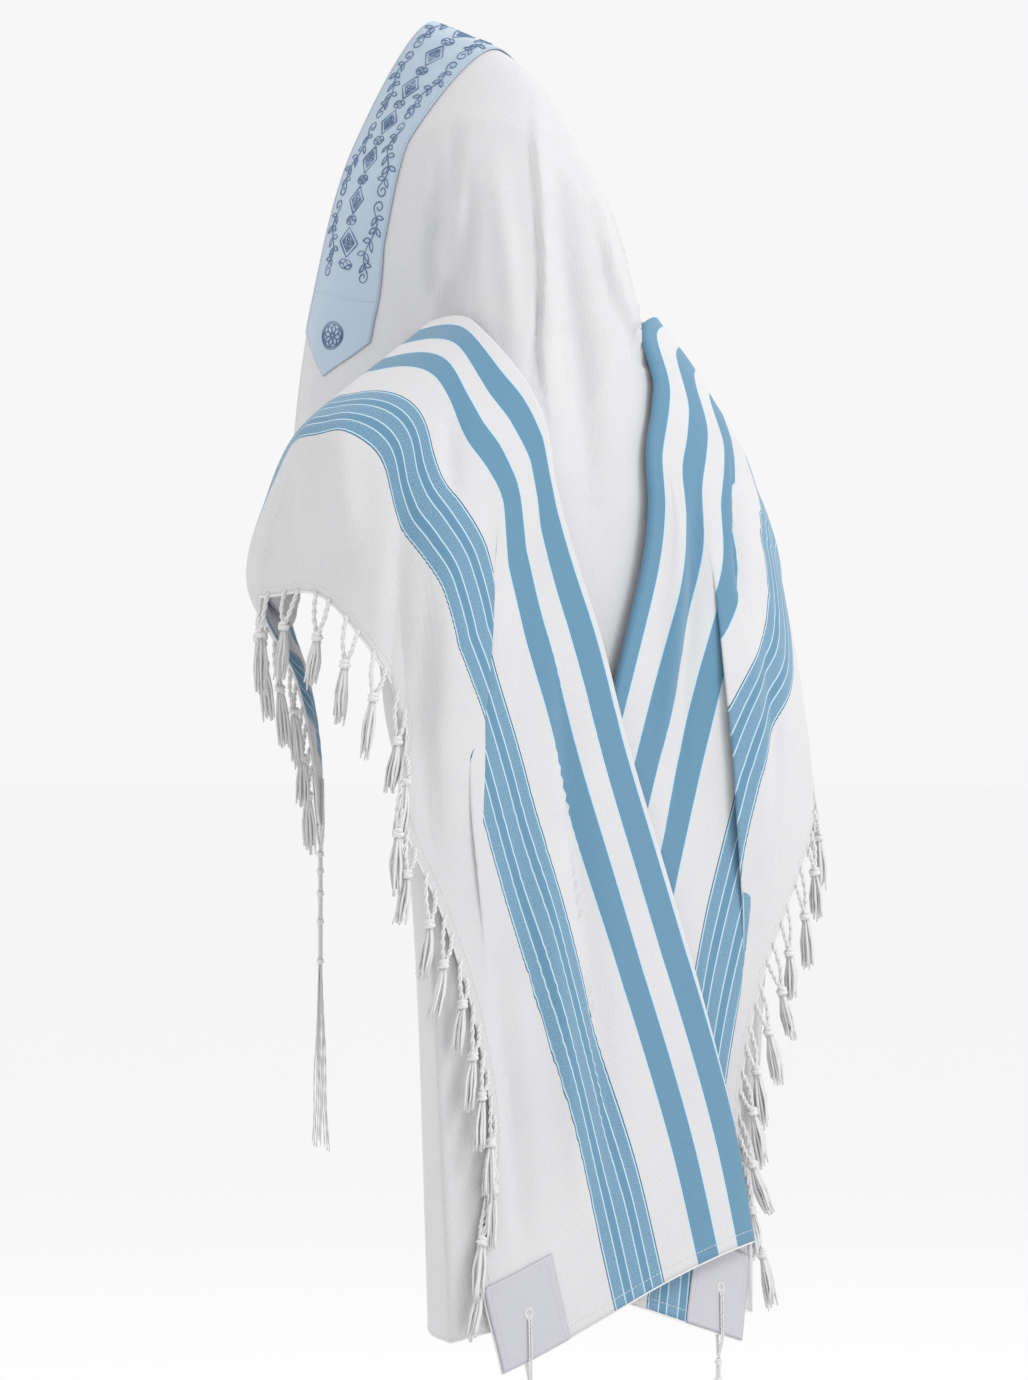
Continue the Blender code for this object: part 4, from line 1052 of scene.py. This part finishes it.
class TallitColours(bpy.types.PropertyGroup):
    """Colours of the cloth, satin and thread."""

    wool: colour("Wool", "White wool", 0.69, 0.69, 0.70)
    wool_shade: colour("Wool shade", "Its darker threads", 0.61, 0.61, 0.625)
    blue: colour("Stripe blue", "Blue of the stripes", 0.125, 0.270, 0.400)
    dark_line: colour("Dark line", "Thin outer lines of the wide stripe", 0.05, 0.15, 0.25)
    pale_line: colour("Pale line", "Thin pale lines beside the blue", 0.50, 0.68, 0.78)
    speckle: colour("Speckle", "Pale threads in the wide stripe", 0.230, 0.375, 0.505)
    satin: colour("Satin", "Neckband and patches", 0.47, 0.565, 0.67)
    satin_shade: colour("Satin shade", "Its darker threads", 0.39, 0.485, 0.60)
    ornament: colour("Ornament", "Thread of the neckband's ornament", 0.115, 0.215, 0.365)
    ornament_shade: colour("Ornament shade", "Its darker threads", 0.075, 0.15, 0.28)
    # Patch and patch shade are white satin greyed to a lilac grey: the grey is painted shade, standing for
    # the shade the patches lie in
    patch: colour("Patch", "Satin of the corner patches", 0.545, 0.545, 0.585)
    patch_shade: colour("Patch shade", "Its darker threads", 0.495, 0.495, 0.54)
    cord: colour("Cord", "Fringe and cords", 0.88, 0.88, 0.87)


class TallitSizes(bpy.types.PropertyGroup):
    """Sizes of the trim that a user may change."""

    fringe_cord: FloatProperty(name="Fringe cord", description="Its radius", default=0.0022, unit="LENGTH")
    lock_strands: IntProperty(name="Lock strands", description="Strands in a lock", default=12, min=3)
    floor_drop: FloatProperty(name="Floor", description="Depth below the crown", default=1.75, unit="LENGTH")


def colours():
    return bpy.context.scene.tallit_colours


def sizes():
    return bpy.context.scene.tallit_sizes


def placed(made, slot, *nodes):
    """Puts a piece on the body, in place of the nodes that it stands for. Its slot is not used."""
    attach(made, "root")
    if nodes:
        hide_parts(*nodes)
    return made


# Operators

class TALLIT_OT_cloth(bpy.types.Operator):
    """Lays the three stretches of striped wool"""

    bl_idname = "tallit.cloth"
    bl_label = "Striped wool cloth"

    def execute(self, context):
        plain = wool_material("white_wool", False)
        woven = wool_material("striped_wool", True)
        for node, grid, across, material in (
            ("hood_and_back", DRAPE.hood, hood_across(), plain),
            ("left_wing", DRAPE.left, wing_across(DRAPE.left, LEFT_FOLD_AT), woven),
            ("right_wing", DRAPE.right, wing_across(DRAPE.right, RIGHT_FOLD_AT), woven),
        ):
            heights = np.repeat(row_heights()[:, None], grid.shape[1], axis=1)
            cloth = cloth_grid(f"{node}_cloth", grid, across, heights, material, CLOTH_THICKNESS)
            placed(cloth, "wool", node)
        return {"FINISHED"}


class TALLIT_OT_hems(bpy.types.Operator):
    """Sews the rolled hems and their stitching"""

    bl_idname = "tallit.hems"
    bl_label = "Hems"

    def execute(self, context):
        thread = thread_material("hem_thread", colours().cord, colours().wool_shade, 900.0)
        lift = CLOTH_THICKNESS / 2 + 0.0001
        for side, grid, outward in zip(("hood", "left", "right"), DRAPE, (1, 1, -1)):
            normals = grid_normals(grid) * outward
            rows, columns = grid.shape[:2]
            hem = Threads()
            hem.tube(grid[-1], HEM_RADIUS, 6)
            hem.tube(grid[0], HEM_RADIUS, 6)
            if side != "hood":
                hem.tube(grid[:, -1], HEM_RADIUS, 6)
            sewn = np.full(columns, rows - 1 - HEM_DEPTH / np.linalg.norm(grid[-1, 9] - grid[-2, 9]))
            hem.stitches(on_cloth(grid, normals, sewn, np.arange(columns), lift), *HEM_STITCH)
            if side != "hood":
                sewn = columns - 1 - SIDE_HEM_DEPTH / np.linalg.norm(grid[:, -1] - grid[:, -2], axis=1)
                hem.stitches(on_cloth(grid, normals, np.arange(rows), sewn, lift), *HEM_STITCH)
            placed(hem.made(f"hem_{side}", thread), "wool")
        return {"FINISHED"}


class TALLIT_OT_neckband(bpy.types.Operator):
    """Lays the satin neckband with its woven ornament and stitching"""

    bl_idname = "tallit.neckband"
    bl_label = "Neckband"

    def execute(self, context):
        up = np.linspace(0.0, NECKBAND_WIDTH, BAND_GRID[0])[:, None]
        across = band_reach(up) * np.linspace(-1.0, 1.0, BAND_GRID[1])
        up = np.broadcast_to(up, across.shape)
        share = up / NECKBAND_WIDTH
        pucker = SATIN_PUCKER * np.sin(across * 190 + 9 * share) * np.sin(np.pi * share)
        grid = band_points(across, up, SATIN_LIFT + pucker)
        shades = colours().satin, colours().satin_shade
        satin = satin_material("pale_blue_satin", *shades)
        band = cloth_grid("neckband_satin", grid, across, up, satin, SATIN_THICKNESS)
        placed(band, "satin", "neckband")
        blues = colours().ornament, colours().ornament_shade
        thread = thread_material("ornament_thread", *blues, 1200.0, 0.5)
        ornament = Threads()
        for line in band_lines():
            line = spaced(line, 0.0025)
            ornament.tube(band_points(line[:, 0], line[:, 1], ORNAMENT_LIFT), ORNAMENT_RADIUS, 4)
        placed(ornament.made("neckband_ornament", thread), "satin")
        pale = thread_material("satin_thread", *shades, 1200.0, 0.5)
        sewn = Threads()
        share = np.linspace(-1.0, 1.0, 260)
        for inset in (0.0025, NECKBAND_WIDTH - 0.0025):
            reach = band_reach(inset) - 0.003
            sewn.stitches(band_points(share * reach, np.full(260, inset), ORNAMENT_LIFT), *BAND_STITCH)
        for hand in (-1, 1):
            place = hand * (NECKBAND_HALF_LENGTH - END_PANEL)
            up = np.linspace(0.001, NECKBAND_WIDTH - 0.001, 40)
            sewn.tube(band_points(np.full(40, place), up, 0.0027), 0.0008, 5)
        placed(sewn.made("neckband_stitching", pale), "satin")
        return {"FINISHED"}


class TALLIT_OT_patches(bpy.types.Operator):
    """Sews the satin patches to the four corners, each with its eyelet"""

    bl_idname = "tallit.patches"
    bl_label = "Corner patches"

    def execute(self, context):
        # Painted shade: the patches' satin is white, and the grey-lilac of its colours stands for the shade
        # it lies in
        shaded_patch_satin = satin_material("patch_satin_painted_shade", colours().patch, colours().patch_shade)
        # The eyelet thread's darker fibres take the patches' grey of painted shade
        thread = thread_material("eyelet_thread", colours().cord, colours().patch_shade, 1200.0, 0.6)
        steps = np.linspace(0.001, CORNER_PATCH_SIDE, PATCH_POINTS)
        across, along = np.meshgrid(steps, steps)
        hole = np.interp(HOLE_INSET, steps, range(PATCH_POINTS))
        turns = np.linspace(0, 2 * np.pi, 29)
        for side, end in CORNERS:
            corner, normals = corner_of(side, end)
            places = place_at(corner[:, 0], steps), place_at(corner[0], steps)
            rows, columns = np.meshgrid(*places, indexing="ij")
            grid = on_cloth(corner, normals, rows, columns, PATCH_LIFT)
            name = f"corner_patch_{side}_{end}"
            patch = cloth_grid(f"{name}_satin", grid, across, along, shaded_patch_satin, PATCH_THICKNESS)
            placed(patch, "satin", name)
            sewn = Threads()
            out = unit(sample(normals, rows[12, 12], columns[12, 12])) * 0.0005
            for line in (grid[2, 2:-2], grid[-3, 2:-2], grid[2:-2, 2], grid[2:-2, -3]):
                sewn.stitches(line + out, *PATCH_STITCH)
            for radius, wire in EYELET_RINGS:
                apart = radius / (CORNER_PATCH_SIDE / (PATCH_POINTS - 1))
                ring = sample(grid, hole + apart * np.cos(turns), hole + apart * np.sin(turns))
                sewn.tube(ring + out, wire, 5)
            placed(sewn.made(f"eyelet_{side}_{end}", thread), "cord")
        return {"FINISHED"}


class TALLIT_OT_fringe(bpy.types.Operator):
    """Knots the fringe to both ends of the cloth"""

    bl_idname = "tallit.fringe"
    bl_label = "Knotted fringe"

    def execute(self, context):
        white = thread_material("white_cord", colours().cord, colours().wool_shade, 700.0, 0.8)
        for number, side in enumerate(("left", "right")):
            chance = np.random.default_rng(11 + number)
            grid, normals = wing_of(side)
            edge = grid[:, -1]
            last = grid.shape[1] - 1.0
            total = run_along(edge)[-1] - 2 * TASSEL_FROM_CORNER
            count = int(round(total / TASSEL_PITCH))
            cords = Threads()
            for middle in TASSEL_FROM_CORNER + (np.arange(count) + 0.5) * total / count:
                rows = place_at(edge, middle + np.array([-LEG_SPREAD, 0.0, LEG_SPREAD]))
                ends = on_cloth(grid, normals, rows, np.full(3, last), 0.0004)
                out = unit(ends[1] - sample(grid, rows[1:2], [last - 2])[0])
                normal = unit(sample(normals, rows[1:2], [last])[0])
                swing = TASSEL_SWING * chance.uniform(0.35, 1.1)
                frame_of = hanging(out, unit(ends[2] - ends[0]), normal, swing)
                roots = [end - out * 0.003 + normal * 0.001 for end in ends[::2]]
                add_tassel(cords, roots, frame_of, chance)
            placed(cords.made(f"fringe_{side}_cords", white), "cord", f"fringe_{side}")
        return {"FINISHED"}


class TALLIT_OT_tzitzit(bpy.types.Operator):
    """Ties the knotted and wound cords to the four corners"""

    bl_idname = "tallit.tzitzit"
    bl_label = "Corner cords"

    def execute(self, context):
        white = thread_material("fine_white_cord", colours().cord, colours().wool_shade, 900.0, 0.75)
        for number, (side, end) in enumerate(CORNERS):
            chance = np.random.default_rng(31 + number)
            corner, normals = corner_of(side, end)
            if end == "front":
                corner, normals = corner.transpose(1, 0, 2), normals.transpose(1, 0, 2)
            row, column = place_at(corner[:, 0], HOLE_INSET), place_at(corner[0], HOLE_INSET)
            tries = np.linspace(0.0, place_at(corner[0], 0.13), 200)
            sideways = (sample(corner, np.zeros(200), tries) - sample(corner, row, column))[:, :2]
            foot = tries[int(np.argmin(np.linalg.norm(sideways, axis=1)))]
            normal = unit(sample(normals, 0.0, foot))
            normal = unit(normal - DOWN * (normal @ DOWN))
            across = np.cross(normal, DOWN)
            hem = sample(corner, 0.0, foot)
            top = hem + unit(hem - sample(corner, 2.0, foot)) * EDGE_CLEARANCE + DOWN * 0.012
            cords = Threads()
            share = np.linspace(0.0, 1.0, 7)
            for lift, hand in LOOP_CORDS:
                line = on_cloth(corner, normals, row * (1 - share), column + (foot - column) * share, lift)
                if lift > 0:
                    line[0] = on_cloth(corner, normals, row, column, 0.0014)
                line = line + across * hand * 0.0013
                line = resampled(np.concatenate([line, [top + across * hand * 0.001]]), 30)
                cords.cord(line, 0.0006, 0.0007, 8.0, chance, 4)
            start, end_of = top + DOWN * 0.004, top + DOWN * (0.006 + COLUMN_LENGTH)
            add_column(cords, start, end_of, across, normal)
            add_strands(cords, end_of, across, normal, chance)
            name = f"tzitzit_{side}_{end}"
            placed(cords.made(f"{name}_cords", white), "cord", name)
        return {"FINISHED"}


class TALLIT_OT_cuts(bpy.types.Operator):
    """A button for the cut sizes, which does nothing"""

    bl_idname = "tallit.cuts"
    bl_label = "Cut sizes"

    def execute(self, context):
        return {"FINISHED"}


class TALLIT_OT_stage(bpy.types.Operator):
    """Sets the floor, the soft lights and the camera"""

    bl_idname = "tallit.stage"
    bl_label = "Floor, lights and camera"

    def execute(self, context):
        deselect()
        bpy.ops.mesh.primitive_circle_add(
            vertices=96, radius=60, fill_type="NGON", location=(0, 0, -sizes().floor_drop)
        )
        floor = context.active_object
        floor.name = "floor"
        pale = Shading("pale_floor", Base_Color=(0.985, 0.985, 0.985), Roughness=0.9)
        floor.data.materials.append(pale.material)
        world = bpy.data.worlds.new("studio")
        world.use_nodes = True
        world.node_tree.nodes["Background"].inputs["Color"].default_value = (0.93, 0.93, 0.93, 1)
        world.node_tree.nodes["Background"].inputs["Strength"].default_value = 1.0
        context.scene.world = world
        context.scene.view_settings.view_transform = "Standard"
        middle = Vector((0, 0, -0.67))
        for name, azimuth, elevation, distance, size, power in (
            ("key", 205, 42, 3.4, 1.2, 42),
            ("fill", 70, 25, 3.8, 2.2, 5),
            ("rim", 320, 50, 3.6, 2.0, 6),
        ):
            turn, rise = math.radians(azimuth), math.radians(elevation)
            level = math.cos(rise)
            back = Vector((math.sin(turn) * level, -math.cos(turn) * level, math.sin(rise)))
            light = bpy.data.lights.new(name, "AREA")
            light.size = size
            light.energy = power
            lamp = bpy.data.objects.new(name, light)
            lamp.location = middle + back * distance
            lamp.rotation_euler = back.to_track_quat("Z", "Y").to_euler()
            context.scene.collection.objects.link(lamp)
        camera = bpy.data.objects.new("camera", bpy.data.cameras.new("camera"))
        distance = 6.0
        frame_height = 1.433
        camera.data.sensor_width = 36
        camera.data.lens = 36 * distance / frame_height
        across = Vector(VIEW_ACROSS)
        back = Vector(VIEW_BACK)
        centre = Vector((0, 0, -0.6698)) + across * 0.0405
        camera.matrix_world = Matrix.Translation(centre + back * distance) @ Matrix(
            (across, Vector((0, 0, 1)), back)
        ).transposed().to_4x4()
        context.scene.collection.objects.link(camera)
        context.scene.camera = camera
        return {"FINISHED"}


class TALLIT_PT_sidebar(bpy.types.Panel):
    """Colours, sizes and a button for each group of pieces"""

    bl_idname = "TALLIT_PT_sidebar"
    bl_label = "Tallit"
    bl_space_type = "VIEW_3D"
    bl_region_type = "UI"
    bl_category = "Tallit"

    def draw(self, context):
        for group in (colours(), sizes()):
            box = self.layout.box()
            for name in group.__annotations__:
                box.prop(group, name)
        for kind in OPERATORS:
            self.layout.operator(kind.bl_idname)


OPERATORS = (
    TALLIT_OT_stage, TALLIT_OT_cloth, TALLIT_OT_hems, TALLIT_OT_neckband, TALLIT_OT_patches,
    TALLIT_OT_fringe, TALLIT_OT_tzitzit, TALLIT_OT_cuts,
)
CLASSES = (TallitColours, TallitSizes, *OPERATORS, TALLIT_PT_sidebar)


def register():
    for kind in CLASSES:
        bpy.utils.register_class(kind)
    bpy.types.Scene.tallit_colours = PointerProperty(type=TallitColours)
    bpy.types.Scene.tallit_sizes = PointerProperty(type=TallitSizes)


def unregister():
    del bpy.types.Scene.tallit_sizes
    del bpy.types.Scene.tallit_colours
    for kind in reversed(CLASSES):
        bpy.utils.unregister_class(kind)


def main():
    register()
    bpy.ops.tallit.stage()
    bpy.ops.tallit.cloth()
    bpy.ops.tallit.hems()
    bpy.ops.tallit.neckband()
    bpy.ops.tallit.patches()
    bpy.ops.tallit.fringe()
    bpy.ops.tallit.tzitzit()
    bpy.ops.tallit.cuts()


if __name__ == "__main__":
    main()
